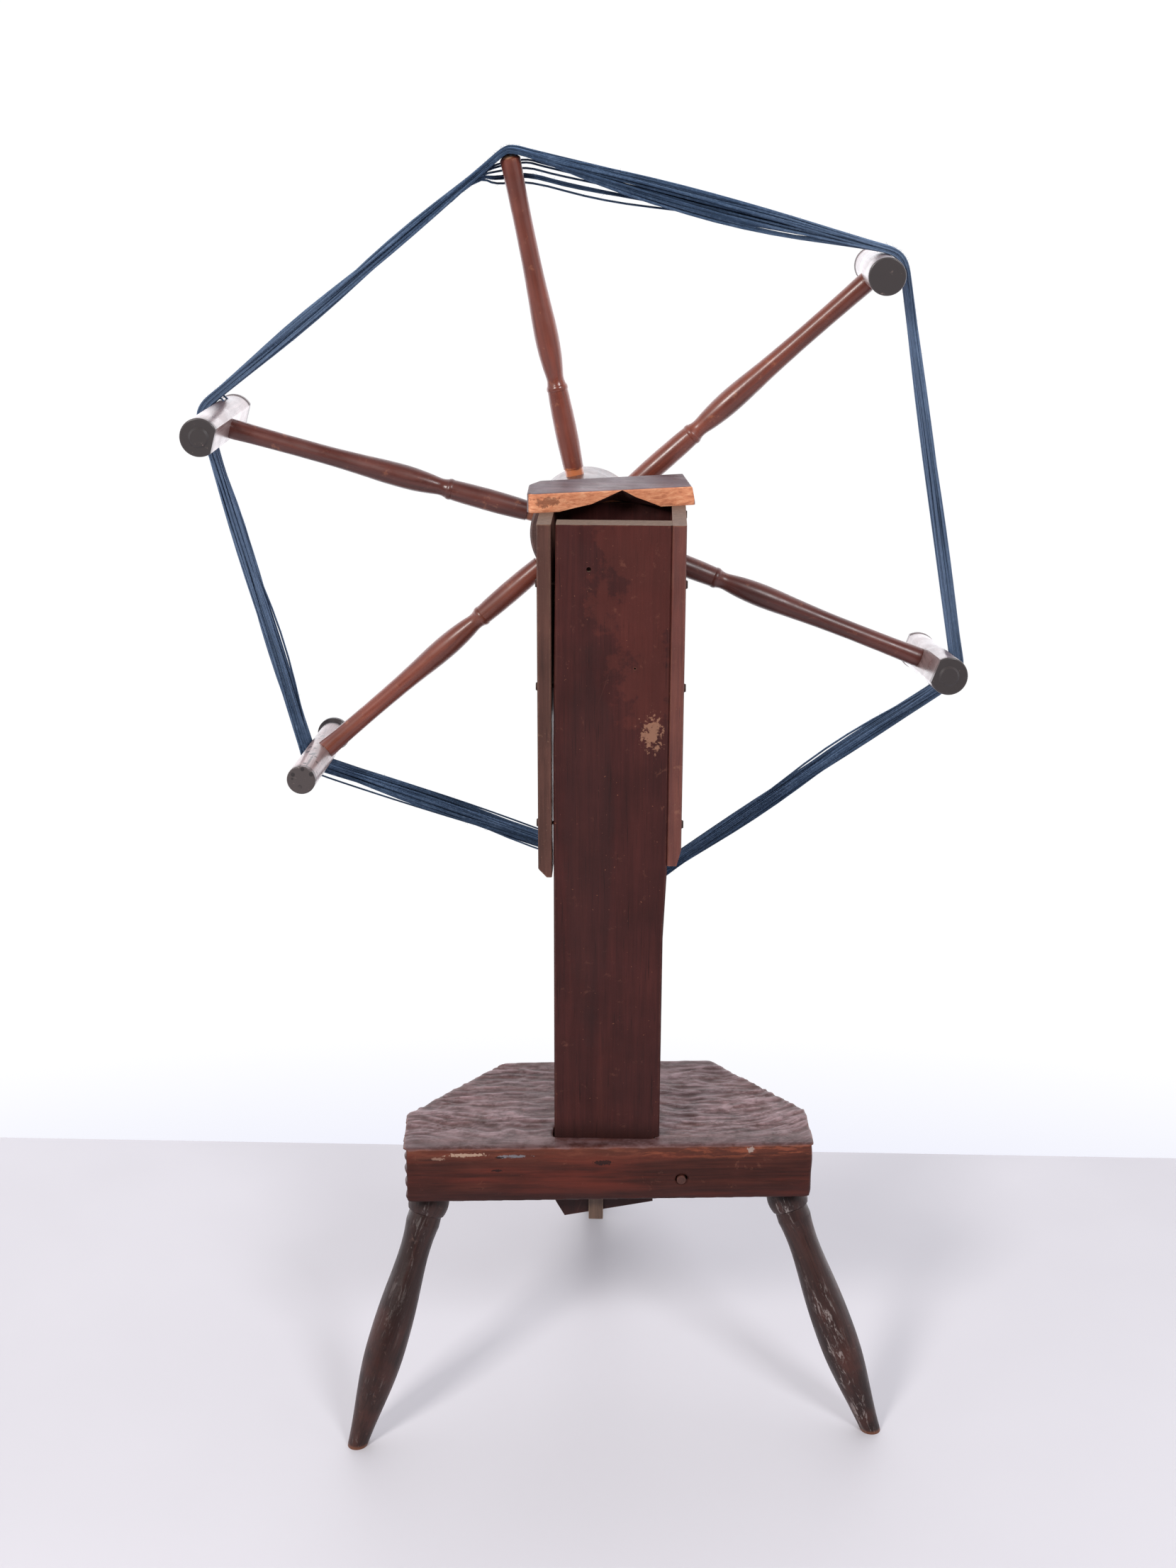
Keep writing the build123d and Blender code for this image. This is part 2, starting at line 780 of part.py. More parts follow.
def skein_support(name):
    """Centre in the wheel's plane and radius of what the skein passes over."""
    angle, reach, bar_r, flat, skew = spokes[name]
    offset_y, wide, thick = skein_lay[name]
    if reach is None:
        reach, bar_r = bare_spoke_end - tip_round, tip_round
    spread = abs(tan(radians(skew))) * wide / 2
    centre = radial(angle) * reach + skewed_axis(angle, skew) * (offset_y / cos(radians(skew)))
    return axle_x + centre.X, axle_z + centre.Z, bar_r + skein_gap + 0.6 * spread


def tangent_normal(a, b):
    """Outward normal, as an angle, of the line that touches two supports."""
    ax, az, ar = skein_support(a)
    bx, bz, br = skein_support(b)
    along = atan2(bz - az, bx - ax)
    return along + acos((ar - br) / hypot(bx - ax, bz - az))


def make_skein():
    """Closed band of wound yarn, straight between supports and bent round each one."""
    order = list(spokes)
    with BuildPart() as skein:
        for i, name in enumerate(order):
            after = order[(i + 1) % len(order)]
            before = order[i - 1]
            normal_in = tangent_normal(before, name)
            normal_out = tangent_normal(name, after)
            x, z, r = skein_support(name)
            offset_y, wide, thick = skein_lay[name]
            turn = degrees(normal_out - normal_in)
            turn = turn - 360 * round(turn / 360)
            start = degrees(normal_in)
            with BuildSketch(Plane.XZ.offset(-(wheel_y + offset_y - wide / 2))):
                with BuildLine():
                    inner = CenterArc((x, z), r, start, turn)
                    outer = CenterArc((x, z), r + thick, start, turn)
                    Line(inner @ 0, outer @ 0)
                    Line(inner @ 1, outer @ 1)
                make_face()
            extrude(amount=-wide)
            for support in (name, after):
                sx, sz, sr = skein_support(support)
                lay_y, lay_wide, lay_thick = skein_lay[support]
                mid = sr + lay_thick / 2
                section = Plane(
                    origin=(
                        sx + mid * cos(normal_out),
                        wheel_y + lay_y,
                        sz + mid * sin(normal_out),
                    ),
                    x_dir=(0, 1, 0),
                    z_dir=(sin(normal_out), 0, -cos(normal_out)),
                )
                with BuildSketch(section):
                    Rectangle(lay_wide, lay_thick)
            loft(ruled=True)
    save(skein, "yarn_skein")


make_post()
make_side_board("side_board_left", box_left, left_face, left_board_foot, left_nails, (6.5, 7.0))
make_side_board("side_board_right", box_right, right_face, right_board_foot, right_nails, (3.5, 13.0))
make_back_board()
make_nails("nails_left", left_nails)
make_nails("nails_right", right_nails)
make_lid()
make_plank()
for leg_name in legs:
    make_leg(leg_name)
make_edge_plug()
make_wedge()
make_axle()
make_hub()
for spoke_name, spoke_facts in spokes.items():
    make_spoke(spoke_name)
    if spoke_facts[1] is not None:
        make_crossbar(spoke_name)
make_worm()
make_worm_pin()
make_gear()
make_gear_arbor()
make_trip_peg()
make_clicker()
make_clicker_block()
make_skein()
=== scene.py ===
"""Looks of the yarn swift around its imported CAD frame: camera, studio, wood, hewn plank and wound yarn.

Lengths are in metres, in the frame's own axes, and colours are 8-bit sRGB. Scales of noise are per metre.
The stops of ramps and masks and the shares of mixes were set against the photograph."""
import json
import math
import random

import bmesh
import bpy
from mathutils import Matrix, Vector, noise


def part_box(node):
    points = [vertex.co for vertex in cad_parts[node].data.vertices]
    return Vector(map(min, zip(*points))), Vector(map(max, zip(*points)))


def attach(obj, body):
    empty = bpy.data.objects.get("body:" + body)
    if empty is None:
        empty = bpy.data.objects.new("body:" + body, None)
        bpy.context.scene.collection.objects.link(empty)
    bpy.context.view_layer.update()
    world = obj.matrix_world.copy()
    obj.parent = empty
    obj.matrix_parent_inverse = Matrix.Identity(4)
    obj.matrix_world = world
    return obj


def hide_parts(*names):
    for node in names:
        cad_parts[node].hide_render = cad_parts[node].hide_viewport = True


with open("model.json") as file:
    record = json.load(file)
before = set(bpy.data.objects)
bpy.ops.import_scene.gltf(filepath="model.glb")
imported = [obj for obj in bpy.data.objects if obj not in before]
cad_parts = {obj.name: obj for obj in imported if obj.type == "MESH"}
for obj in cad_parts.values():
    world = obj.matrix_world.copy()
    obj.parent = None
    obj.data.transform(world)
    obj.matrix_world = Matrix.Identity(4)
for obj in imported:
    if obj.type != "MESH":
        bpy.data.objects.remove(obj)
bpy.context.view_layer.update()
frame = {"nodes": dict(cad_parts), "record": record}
nodes = frame["nodes"]
joints = {j["name"]: j for j in frame["record"]["behaviour"]["joints"]}
AXLE = Vector(joints["wheel_spin"]["pos_m"])
PLANK_TURN = math.radians(3.6)          # about Z, against the box
PLANK_CENTRE = Vector((0.0223, -0.058, 0))
UP = (0, 0, 1)
ALONG_X = (1, 0, 0)
ALONG_Y = (0, 1, 0)
FRONT = (0, -1, 0)
ORIGIN = (0, 0, 0)


def linear(red, green, blue):
    """Linear colour from 8-bit sRGB values."""
    parts = [c / 255 for c in (red, green, blue)]
    parts = [c / 12.92 if c <= 0.04045 else ((c + 0.055) / 1.055) ** 2.4 for c in parts]
    return (*parts, 1.0)


def grey(level):
    return (level, level, level, 1)


# ---- camera, fitted to the photograph ----
CAMERA_POS = (0.0535, -1.5661, 1.0375)
CAMERA_YAW = math.radians(-1.754)
CAMERA_PITCH = math.radians(18.989)
CAMERA_ROLL = math.radians(0.149)
FOCAL_PIXELS = 2897.3
PHOTO_HEIGHT_PIXELS = 2212
SENSOR_MM = 36


def add_camera():
    yaw, pitch, roll = CAMERA_YAW, CAMERA_PITCH, CAMERA_ROLL
    forward = Vector((math.sin(yaw) * math.cos(pitch), math.cos(yaw) * math.cos(pitch), -math.sin(pitch)))
    right = Vector((math.cos(yaw), -math.sin(yaw), 0))
    up = right.cross(forward)
    side = right * math.cos(roll) + up * math.sin(roll)
    top = -right * math.sin(roll) + up * math.cos(roll)
    camera = bpy.data.objects.new("camera", bpy.data.cameras.new("camera"))
    bpy.context.scene.collection.objects.link(camera)
    camera.data.sensor_width = SENSOR_MM
    camera.data.lens = FOCAL_PIXELS / PHOTO_HEIGHT_PIXELS * SENSOR_MM
    camera.data.clip_start = 0.05
    camera.data.clip_end = 50
    matrix = Matrix((side, top, -forward)).transposed().to_4x4()
    matrix.translation = CAMERA_POS
    camera.matrix_world = matrix
    bpy.context.scene.camera = camera


# ---- node helpers ----
# A Mix node's colour sockets share their names with its number sockets, so they go by their places.
MIX_A, MIX_B, MIX_RESULT = 6, 7, 2


class Nodes:
    """A node tree, with short calls for the nodes used here."""

    def __init__(self, tree):
        self.tree = tree

    def put(self, socket, value):
        """Links a socket to the input, or sets its value; None leaves it alone."""
        if isinstance(value, bpy.types.NodeSocket):
            self.tree.links.new(value, socket)
        elif value is not None:
            socket.default_value = value

    def node(self, kind, inputs=(), **settings):
        made = self.tree.nodes.new(kind)
        for key, value in settings.items():
            setattr(made, key, value)
        for key, value in dict(inputs).items():
            self.put(made.inputs[key], value)
        return made

    def math(self, operation, a, b=None, clamp=False):
        made = self.node("ShaderNodeMath", {0: a, 1: b}, operation=operation, use_clamp=clamp)
        return made.outputs[0]

    def times(self, product, *factors):
        for factor in factors:
            product = self.math("MULTIPLY", product, factor)
        return product

    def vector(self, operation, a, b=None):
        return self.node("ShaderNodeVectorMath", {0: a, 1: b}, operation=operation)

    def dot(self, vector, axis):
        return self.vector("DOT_PRODUCT", vector, axis).outputs["Value"]

    def place(self):
        return self.node("ShaderNodeTexCoord").outputs["Object"]

    def grain(self, axis, centre=ORIGIN, stretch=1.0):
        """Place measured from a centre, squeezed along the grain so that patterns run along it."""
        axis = Vector(axis).normalized()
        side = axis.orthogonal().normalized()
        other = axis.cross(side)
        moved = self.vector("SUBTRACT", self.place(), centre).outputs[0]
        parts = [self.dot(moved, v) for v in (side, other, axis / stretch)]
        return self.node("ShaderNodeCombineXYZ", dict(enumerate(parts))).outputs[0]

    def noise(self, vector, scale, detail=4.0, rough=0.55, distortion=0.0):
        made = self.node("ShaderNodeTexNoise", {
            "Vector": vector, "Scale": scale, "Detail": detail, "Roughness": rough, "Distortion": distortion})
        return made.outputs["Fac"]

    def ramp(self, value, *stops):
        """Colours or grey levels along a value; each stop is (place, level or colour)."""
        made = self.node("ShaderNodeValToRGB", {"Fac": value})
        elements = made.color_ramp.elements
        while len(elements) < len(stops):
            elements.new(0.5)
        for element, (at, level) in zip(elements, stops):
            element.position = at
            element.color = level if hasattr(level, "__len__") else grey(level)
        return made.outputs["Color"]

    def mask(self, value, low, high):
        """0 below low, 1 above high, or the other way round when low is the larger."""
        made = self.node("ShaderNodeMapRange", {"Value": value, "From Min": low, "From Max": high},
                         interpolation_type="SMOOTHSTEP")
        return made.outputs["Result"]

    def span(self, value, come_from, go_to):
        """The value moved in a straight line from one range to another, and kept inside it."""
        (low, high), (to_low, to_high) = come_from, go_to
        made = self.node("ShaderNodeMapRange", {
            "Value": value, "From Min": low, "From Max": high, "To Min": to_low, "To Max": to_high})
        return made.outputs["Result"]

    def mix(self, factor, a, b, blend="MIX"):
        made = self.node("ShaderNodeMix", {"Factor": factor}, data_type="RGBA", blend_type=blend)
        self.put(made.inputs[MIX_A], a)
        self.put(made.inputs[MIX_B], b)
        return made.outputs[MIX_RESULT]

    def edges(self, radius):
        """1 along sharp edges, from how far a bevel would turn the surface."""
        bevel = self.node("ShaderNodeBevel", {"Radius": radius}, samples=6)
        flat = self.node("ShaderNodeNewGeometry").outputs["True Normal"]
        return self.mask(self.dot(bevel.outputs[0], flat), 0.985, 0.80)

    def facing(self, axis):
        """How far the surface faces along an axis, from -1 to 1."""
        return self.dot(self.node("ShaderNodeNewGeometry").outputs["Normal"], axis)

    def bump(self, height, distance, strength=1.0, below=None):
        made = self.node("ShaderNodeBump", {
            "Height": height, "Distance": distance, "Strength": strength, "Normal": below})
        return made.outputs[0]


class Shader(Nodes):
    """A new material's node tree."""

    def __init__(self, name):
        self.material = bpy.data.materials.new(name)
        self.material.use_nodes = True
        super().__init__(self.material.node_tree)
        self.bsdf = self.tree.nodes["Principled BSDF"]

    def surface(self, **inputs):
        """Sets these inputs of the surface, _ standing for a space, and gives the material."""
        for name, value in inputs.items():
            self.put(self.bsdf.inputs[name.replace("_", " ")], value)
        return self.material


# pale mauve of dust and of a painted sheen on faces that look up
DUST_AND_SHEEN = (120, 108, 118)
WORN_EDGE = 0.0022             # width of the worn strip along an edge
CRUSHED = 0.0012               # depth of dents
RELIEF = 0.0005                # depth of the grain
LACQUER_ROUGHNESS = 0.22


def wood(name, axis, tones, centre=ORIGIN, gloss=0.45, coat=0.0, figure=1.0, pores=1.0, wear=None,
         edge_wear=0.5, dust_and_sheen=0.0, dents=1.0, relief_strength=0.5, specular=0.45, streaky=1.0, extra=None):
    """Old finished wood with fibre streaks, figure, pores, handling wear, dust with a painted sheen, and
    dents.
    """
    s = Shader(name)
    dark, mid, light = (linear(*t) for t in tones)
    worn = linear(*wear) if wear else light
    # streaks and bands along the grain
    fibre_at = s.grain(axis, centre, 26.0)
    figure_at = s.grain(axis, centre, 7.0)
    fibres = s.noise(fibre_at, 520.0, 6.0, 0.62, 0.25)
    streaks = s.noise(fibre_at, 130.0, 4.0, 0.6, 0.6)
    bands = s.noise(figure_at, 34.0 * figure, 3.0, 0.55, 1.2)
    blotches = s.noise(s.place(), 17.0, 3.0, 0.55)
    tone = s.math("ADD", s.times(streaks, 0.55), s.times(bands, 0.45))
    colour = s.ramp(tone, (0.24, dark), (0.50, mid), (0.78, light))
    fine = s.ramp(fibres, (0.30, 0.62), (0.52, 1.0), (0.72, 1.22))
    colour = s.mix(streaky, colour, fine, "MULTIPLY")
    cloud = s.ramp(blotches, (0.32, 0.72), (0.62, 1.18))
    colour = s.mix(0.85, colour, cloud, "MULTIPLY")
    # pores and scuffs
    pore = s.mask(s.noise(s.grain(axis, centre, 34.0), 900.0, 2.0, 0.5), 0.64, 0.74)
    pore_tone = tuple(c * 0.35 for c in dark[:3]) + (1,)
    colour = s.mix(s.times(pore, 0.55 * pores), colour, pore_tone)
    scuff = s.mask(s.noise(s.place(), 95.0, 8.0, 0.72, 0.4), 0.60, 0.72)
    colour = s.mix(s.times(scuff, 0.30), colour, worn)
    if edge_wear:
        patchy = s.mask(s.noise(s.place(), 60.0, 6.0, 0.7), 0.38, 0.62)
        rubbed = s.times(s.edges(WORN_EDGE), s.times(patchy, edge_wear))
        colour = s.mix(rubbed, colour, worn)
    rough = s.ramp(s.noise(s.place(), 40.0, 6.0, 0.65), (0.3, gloss - 0.12), (0.7, gloss + 0.16))
    # dust and a painted sheen: a patchy pale mauve film on faces that look up, also made rougher
    if dust_and_sheen:
        up = s.mask(s.facing(UP), 0.35, 0.95)
        sheen_film = s.mask(s.noise(s.place(), 55.0, 7.0, 0.7), 0.30, 0.66)
        amount = s.times(up, s.times(sheen_film, dust_and_sheen))
        colour = s.mix(amount, colour, linear(*DUST_AND_SHEEN))
        rough = s.mix(amount, rough, grey(0.8))
    if extra:
        colour, rough = extra(s, colour, rough)
    # fine relief over soft dents
    relief = s.math("ADD", s.times(fibres, 0.5), s.times(streaks, 0.5))
    relief = s.math("SUBTRACT", relief, s.times(pore, 0.4))
    soft = s.bump(s.noise(s.place(), 70.0, 5.0, 0.6), CRUSHED * dents, 0.55)
    if coat:
        s.surface(Coat_Weight=coat, Coat_Roughness=LACQUER_ROUGHNESS)
    return s.surface(Base_Color=colour, Roughness=rough, Specular_IOR_Level=specular,
                    Normal=s.bump(relief, RELIEF, relief_strength, soft))


def dress(node, material):
    mesh = nodes[node].data
    mesh.materials.clear()
    mesh.materials.append(material)


# ---- studio ----
FLOOR_LEFT, FLOOR_RIGHT, FLOOR_FRONT = -4.0, 4.0, -4.5
FLOOR_BACK = 0.302             # where the photograph's floor turns white
FLOOR_TONES = (193, 190, 195), (200, 197, 202)
SKY = (250, 250, 255)
HAZE = (238, 239, 251)         # what the camera sees low down
LIT = (0, 0, 0.35)             # the place that the lamps point at


def add_floor():
    bm = bmesh.new()
    corners = [(FLOOR_LEFT, FLOOR_FRONT, 0), (FLOOR_RIGHT, FLOOR_FRONT, 0),
               (FLOOR_RIGHT, FLOOR_BACK, 0), (FLOOR_LEFT, FLOOR_BACK, 0)]
    bm.faces.new([bm.verts.new(c) for c in corners])
    mesh = bpy.data.meshes.new("floor")
    bm.to_mesh(mesh)
    bm.free()
    floor = bpy.data.objects.new("floor", mesh)
    bpy.context.scene.collection.objects.link(floor)
    s = Shader("studio_floor")
    darker, lighter = (linear(*t) for t in FLOOR_TONES)
    cloud = s.ramp(s.noise(s.place(), 1.3, 2.0, 0.5), (0.3, darker), (0.7, lighter))
    rough = s.ramp(s.noise(s.place(), 9.0, 4.0), (0.3, 0.42), (0.7, 0.52))
    mesh.materials.append(s.surface(Base_Color=cloud, Roughness=rough, Specular_IOR_Level=0.35))


def add_world():
    """Light from behind and from the sides, while the camera itself sees white with a low haze."""
    world = bpy.data.worlds.new("studio")
    world.use_nodes = True
    bpy.context.scene.world = world
    n = Nodes(world.node_tree)
    toward = n.node("ShaderNodeSeparateXYZ", {0: n.node("ShaderNodeTexCoord").outputs["Generated"]}).outputs
    behind = n.span(toward["Y"], (-0.10, 0.80), (0.16, 2.1))
    sides = n.span(n.math("ABSOLUTE", toward["X"]), (0.55, 0.95), (0.0, 0.9))
    cast = n.tree.nodes["Background"]
    cast.inputs["Color"].default_value = linear(*SKY)
    n.put(cast.inputs["Strength"], n.math("ADD", behind, sides))
    above_haze = n.span(toward["Z"], (-0.49, -0.43), (0.0, 1.0))
    backdrop = n.mix(above_haze, linear(*HAZE), grey(1))
    seen = n.node("ShaderNodeBackground", {"Color": backdrop, "Strength": 1.02})
    to_camera = n.node("ShaderNodeLightPath").outputs["Is Camera Ray"]
    either = n.node("ShaderNodeMixShader", {0: to_camera, 1: cast.outputs[0], 2: seen.outputs[0]})
    n.put(n.tree.nodes["World Output"].inputs["Surface"], either.outputs[0])


def add_light(name, place, size, power, tint):
    """A square soft light, aimed at the reel's middle."""
    light = bpy.data.lights.new(name, "AREA")
    light.shape = "RECTANGLE"
    light.size = light.size_y = size
    light.energy = power
    light.color = tint
    lamp = bpy.data.objects.new(name, light)
    lamp.location = place
    lamp.rotation_mode = "QUATERNION"
    lamp.rotation_quaternion = (Vector(LIT) - Vector(place)).to_track_quat("-Z", "Y")
    bpy.context.scene.collection.objects.link(lamp)


# ---- yarn ----
YARN = 0.0016                  # diameter of a strand
SPACING = 1.03                 # from strand to strand across the skein, in diameters
LAYER = 0.86                   # from layer to layer, in diameters
TURNS = 31                     # rounds in each of the two lengths of yarn
LENGTHS = 2
# where the skein bends: angle of the spoke, distance from the axle, radius and skew of what it
# passes over, and the middle and width of the skein there along Y, in metres and degrees
SUPPORTS = {
    "top": (101.6, 0.2738, 0.0090, 0.0, 0.003, 0.027),
    "upper_right": (41.8, 0.2927, 0.0135, -2.1, -0.022, 0.028),
    "right": (-21.2, 0.2942, 0.0144, -7.7, -0.003, 0.026),
    "bottom": (-80.4, 0.2920, 0.0142, 4.2, 0.040, 0.024),
    "lower_left": (221.3, 0.2880, 0.0113, 3.2, 0.030, 0.024),
    "left": (164.8, 0.2940, 0.0144, 1.4, 0.038, 0.022),
}
STRAY = 0.0003                 # how far a strand may lie from its place, along Y
LIFT = 0.0002                  # the same, outwards
GAP = 0.0004                   # between the wood and the first strand
REACH = 0.011                  # from a bend to the strand's free points on either side of it
TIP_REACH = 0.2832             # from the axle to the bare spoke's tip
# strands that slipped down behind the bare spoke: how far below its tip they cross it, and how far on
# they rejoin the skein
SLIPPED = {3: (0.0045, 0.020), 7: (0.0065, 0.022), 9: (0.0100, 0.040), 12: (0.0140, 0.058),
           15: (0.0155, 0.066), 17: (0.0148, 0.075), 20: (0.0160, 0.070), 23: (0.0142, 0.058),
           25: (0.0152, 0.065), 28: (0.0195, 0.110)}
BEHIND_TIP = 0.0115            # the nearest of them, from the spoke's middle along Y
BEHIND_STEP = 0.0018           # between them
BEHIND_ROWS = 4
BESIDE_TIP = 0.012             # from the tip to their points on either side of it
BEFORE_DROP, PAST_RISE = 0.0035, 0.0005          # of those two points, from where they cross the spoke
REJOIN_FORWARD = 0.003         # of the point halfway to where they rejoin the skein
REJOIN_DROP = 0.13             # of the same point, as a share of the whole way there
# strands that lie apart at the lower left bar, and how far in front of the skein
APART = {5: 0.010, 22: 0.0125, 14: 0.008}
APART_SHARES = (1.0, 0.8, 0.35, 0.1)     # of that, at the bend's four points
# how loosely the strands lie in each span, named by the support that it starts from
LOOSE = {"top": 0.0012, "upper_right": 0.0010, "right": 0.0023, "bottom": 0.0023, "lower_left": 0.0018,
         "left": 0.0017}
LOOSE_SIDEWAYS = 0.0013
TOP_SAG, TOP_SAG_VARIES = 0.0062, 0.0185         # in the span that starts at the bare spoke
SLIPPED_SAG, SLIPPED_SAG_VARIES = 0.004, 0.004
SPAN_POINTS = ((0.34, 0.9), (0.66, 1.0))         # share of the way, and share of the sag there
CORD_POINTS_PER_SPAN = 4
SLOT_SEED, ROUTE_SEED, HAIR_SEED = 7, 11, 21


def strand_slots(wide, count, chance):
    """Places across the skein as (offset along Y, height over the support), in winding order."""
    row = max(3, int(wide / (YARN * SPACING)))
    places = []
    layer = 0
    while len(places) < count:
        here = row - layer % 2
        height = YARN * (0.5 + LAYER * layer)
        line = [((k - (here - 1) / 2) * YARN * SPACING, height) for k in range(here)]
        places += line if layer % 2 == 0 else line[::-1]
        layer += 1
    places = places[:count]
    for _ in range(count // 2):
        k = chance.randrange(count - 2)
        places[k], places[k + 2] = places[k + 2], places[k]
    return places


def support_circle(name, slot, chance):
    """Centre in (x, z), radius and Y of one strand's bend round a support."""
    angle, reach, radius, skew, middle, _ = SUPPORTS[name]
    y = middle + slot[0] + chance.uniform(-STRAY, STRAY)
    a = math.radians(angle)
    aside = y * math.tan(math.radians(skew))
    x = AXLE.x + reach * math.cos(a) - math.sin(a) * aside
    z = AXLE.z + reach * math.sin(a) + math.cos(a) * aside
    return x, z, radius + GAP + slot[1] + chance.uniform(0, LIFT), AXLE.y + y


def outward(a, b):
    """Outward normal, as an angle, of the line that touches two support circles."""
    along = math.atan2(b[1] - a[1], b[0] - a[0])
    return along + math.acos((a[2] - b[2]) / math.hypot(b[0] - a[0], b[1] - a[1]))


def bend_points(circle, normal_in, normal_out):
    """The strand's points at one support: one before it, two outside its bend, and one after it."""
    x, z, r, y = circle
    turn = (normal_out - normal_in + math.pi) % (2 * math.pi) - math.pi
    before = Vector((x + r * math.cos(normal_in), y, z + r * math.sin(normal_in)))
    after = Vector((x + r * math.cos(normal_out), y, z + r * math.sin(normal_out)))
    run_in = Vector((math.sin(normal_in), 0, -math.cos(normal_in)))
    run_out = Vector((math.sin(normal_out), 0, -math.cos(normal_out)))
    wide = r / math.cos(turn / 4)
    corners = [
        Vector((x + wide * math.cos(normal_in + turn * k), y, z + wide * math.sin(normal_in + turn * k)))
        for k in (0.25, 0.75)
    ]
    return [before - run_in * REACH, *corners, after + run_out * REACH]


def slipped_points(turn, start, following):
    """A strand's points where it passes behind the bare spoke, below its tip, and rejoins the skein."""
    angle = math.radians(SUPPORTS["top"][0])
    tip = Vector((AXLE.x + TIP_REACH * math.cos(angle), AXLE.y, AXLE.z + TIP_REACH * math.sin(angle)))
    below, merge = SLIPPED[turn]
    level = tip.z - below
    back = AXLE.y + BEHIND_TIP + BEHIND_STEP * (turn % BEHIND_ROWS)
    return [
        start - (following - start).normalized() * BESIDE_TIP,
        Vector((tip.x - BESIDE_TIP, back, level - BEFORE_DROP)),
        Vector((tip.x + BESIDE_TIP, back, level + PAST_RISE)),
        Vector((tip.x + BESIDE_TIP + merge * 0.5, back - REJOIN_FORWARD, level - merge * REJOIN_DROP)),
    ]


def skein_route(length, slots, chance):
    """Points of one length of yarn; the first length lies under the second."""
    slipped = SLIPPED if length == 0 else {}
    apart = APART if length == 1 else {}
    circles = [(name, turn, support_circle(name, slots[name][turn], chance))
               for turn in range(TURNS) for name in SUPPORTS]
    round_back = len(SUPPORTS) - 1
    bends = []
    for i, (name, turn, circle) in enumerate(circles):
        last = circles[i - 1][2] if i else circles[round_back][2]
        following = circles[i + 1][2] if i + 1 < len(circles) else circles[i - round_back][2]
        points = bend_points(circle, outward(last, circle), outward(circle, following))
        if name == "lower_left" and turn in apart:
            for point, share in zip(points, APART_SHARES):
                point.y -= apart[turn] * share
        if name == "top" and turn in slipped:
            points = slipped_points(turn, points[0], points[1])
        bends.append((name, turn, points))
    # the loose ends, from the first and the last bend's outermost points
    first_end = Vector((-0.030, 0.004 - 0.006 * length, -0.026))
    last_end = Vector((0.012, -0.006, -0.018))
    route = [bends[0][2][0] + first_end, *bends[0][2]]
    for (name, turn, points), (_, _, next_points) in zip(bends, bends[1:]):
        run = next_points[0] - points[-1]
        out = run.cross(Vector(ALONG_Y)).normalized()
        sag = 0.0
        if name == "top":
            sag = TOP_SAG - TOP_SAG_VARIES * chance.random()
            if turn in slipped:
                sag = SLIPPED_SAG - SLIPPED_SAG_VARIES * chance.random()
        for share, sagging in SPAN_POINTS:
            middle = points[-1] + run * share
            middle += out * (chance.gauss(0, LOOSE[name]) + sag * sagging)
            middle.y += chance.gauss(0, LOOSE_SIDEWAYS)
            route.append(middle)
        route += next_points
    route.append(route[-1] + last_end)
    return route


def skein_slots():
    """Each length's places at each support, from the support outwards."""
    chance = random.Random(SLOT_SEED)
    count = TURNS * LENGTHS
    slots = {name: strand_slots(SUPPORTS[name][5], count, chance) for name in SUPPORTS}
    over_tip = strand_slots(SUPPORTS["top"][5], count - len(SLIPPED), chance)
    slots["top"] = [(0.0, 0.001) if turn in SLIPPED else over_tip.pop(0) for turn in range(count)]
    return [{name: places[k * TURNS:(k + 1) * TURNS] for name, places in slots.items()}
            for k in range(LENGTHS)]


def add_skein(name, route, material):
    curve = bpy.data.curves.new(name, "CURVE")
    curve.dimensions = "3D"
    curve.resolution_u = CORD_POINTS_PER_SPAN
    curve.bevel_depth = YARN / 2
    curve.bevel_resolution = 1
    curve.use_fill_caps = True
    spline = curve.splines.new("NURBS")
    spline.points.add(len(route) - 1)
    for point, place in zip(spline.points, route):
        point.co = (*place, 1)
    spline.order_u = 3
    spline.use_endpoint_u = True
    curve.materials.append(material)
    skein = bpy.data.objects.new(name, curve)
    bpy.context.scene.collection.objects.link(skein)
    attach(skein, "wheel")
    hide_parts("yarn_skein")
    return skein


def centreline(curve_object):
    """The cord's own line, as points, from its spline without the bevel."""
    bare = curve_object.data.copy()
    bare.bevel_depth = 0
    holder = bpy.data.objects.new("bare", bare)
    mesh = bpy.data.meshes.new_from_object(holder)
    line = [v.co.copy() for v in mesh.vertices]
    bpy.data.objects.remove(holder)
    bpy.data.meshes.remove(mesh)
    bpy.data.curves.remove(bare)
    return line


# ---- wood, piece by piece ----
def radial(angle):
    return Vector((math.cos(math.radians(angle)), 0, math.sin(math.radians(angle))))


def spot(s, centre, radii, ragged=0.5, fine=160.0):
    """1 inside a ragged spot on the surface, 0 outside."""
    moved = s.vector("SUBTRACT", s.place(), centre).outputs[0]
    scaled = s.vector("DIVIDE", moved, radii).outputs[0]
    away = s.vector("LENGTH", scaled).outputs["Value"]
    torn = s.times(s.math("SUBTRACT", s.noise(s.place(), fine, 6.0, 0.7), 0.5), 4.0 * ragged)
    return s.mask(s.math("ADD", away, torn), 1.05, 0.75)


def end_grain(s, colour, rough, tone, above):
    """Paler, duller wood on faces that look up."""
    up = s.mask(s.facing(UP), 0.6, 0.9)
    mottle = s.ramp(s.noise(s.place(), 260.0, 6.0, 0.7), (0.3, 0.7), (0.7, 1.15))
    end = s.mix(1.0, linear(*tone), mottle, "MULTIPLY")
    return s.mix(s.times(up, above), colour, end), s.mix(up, rough, grey(0.75))


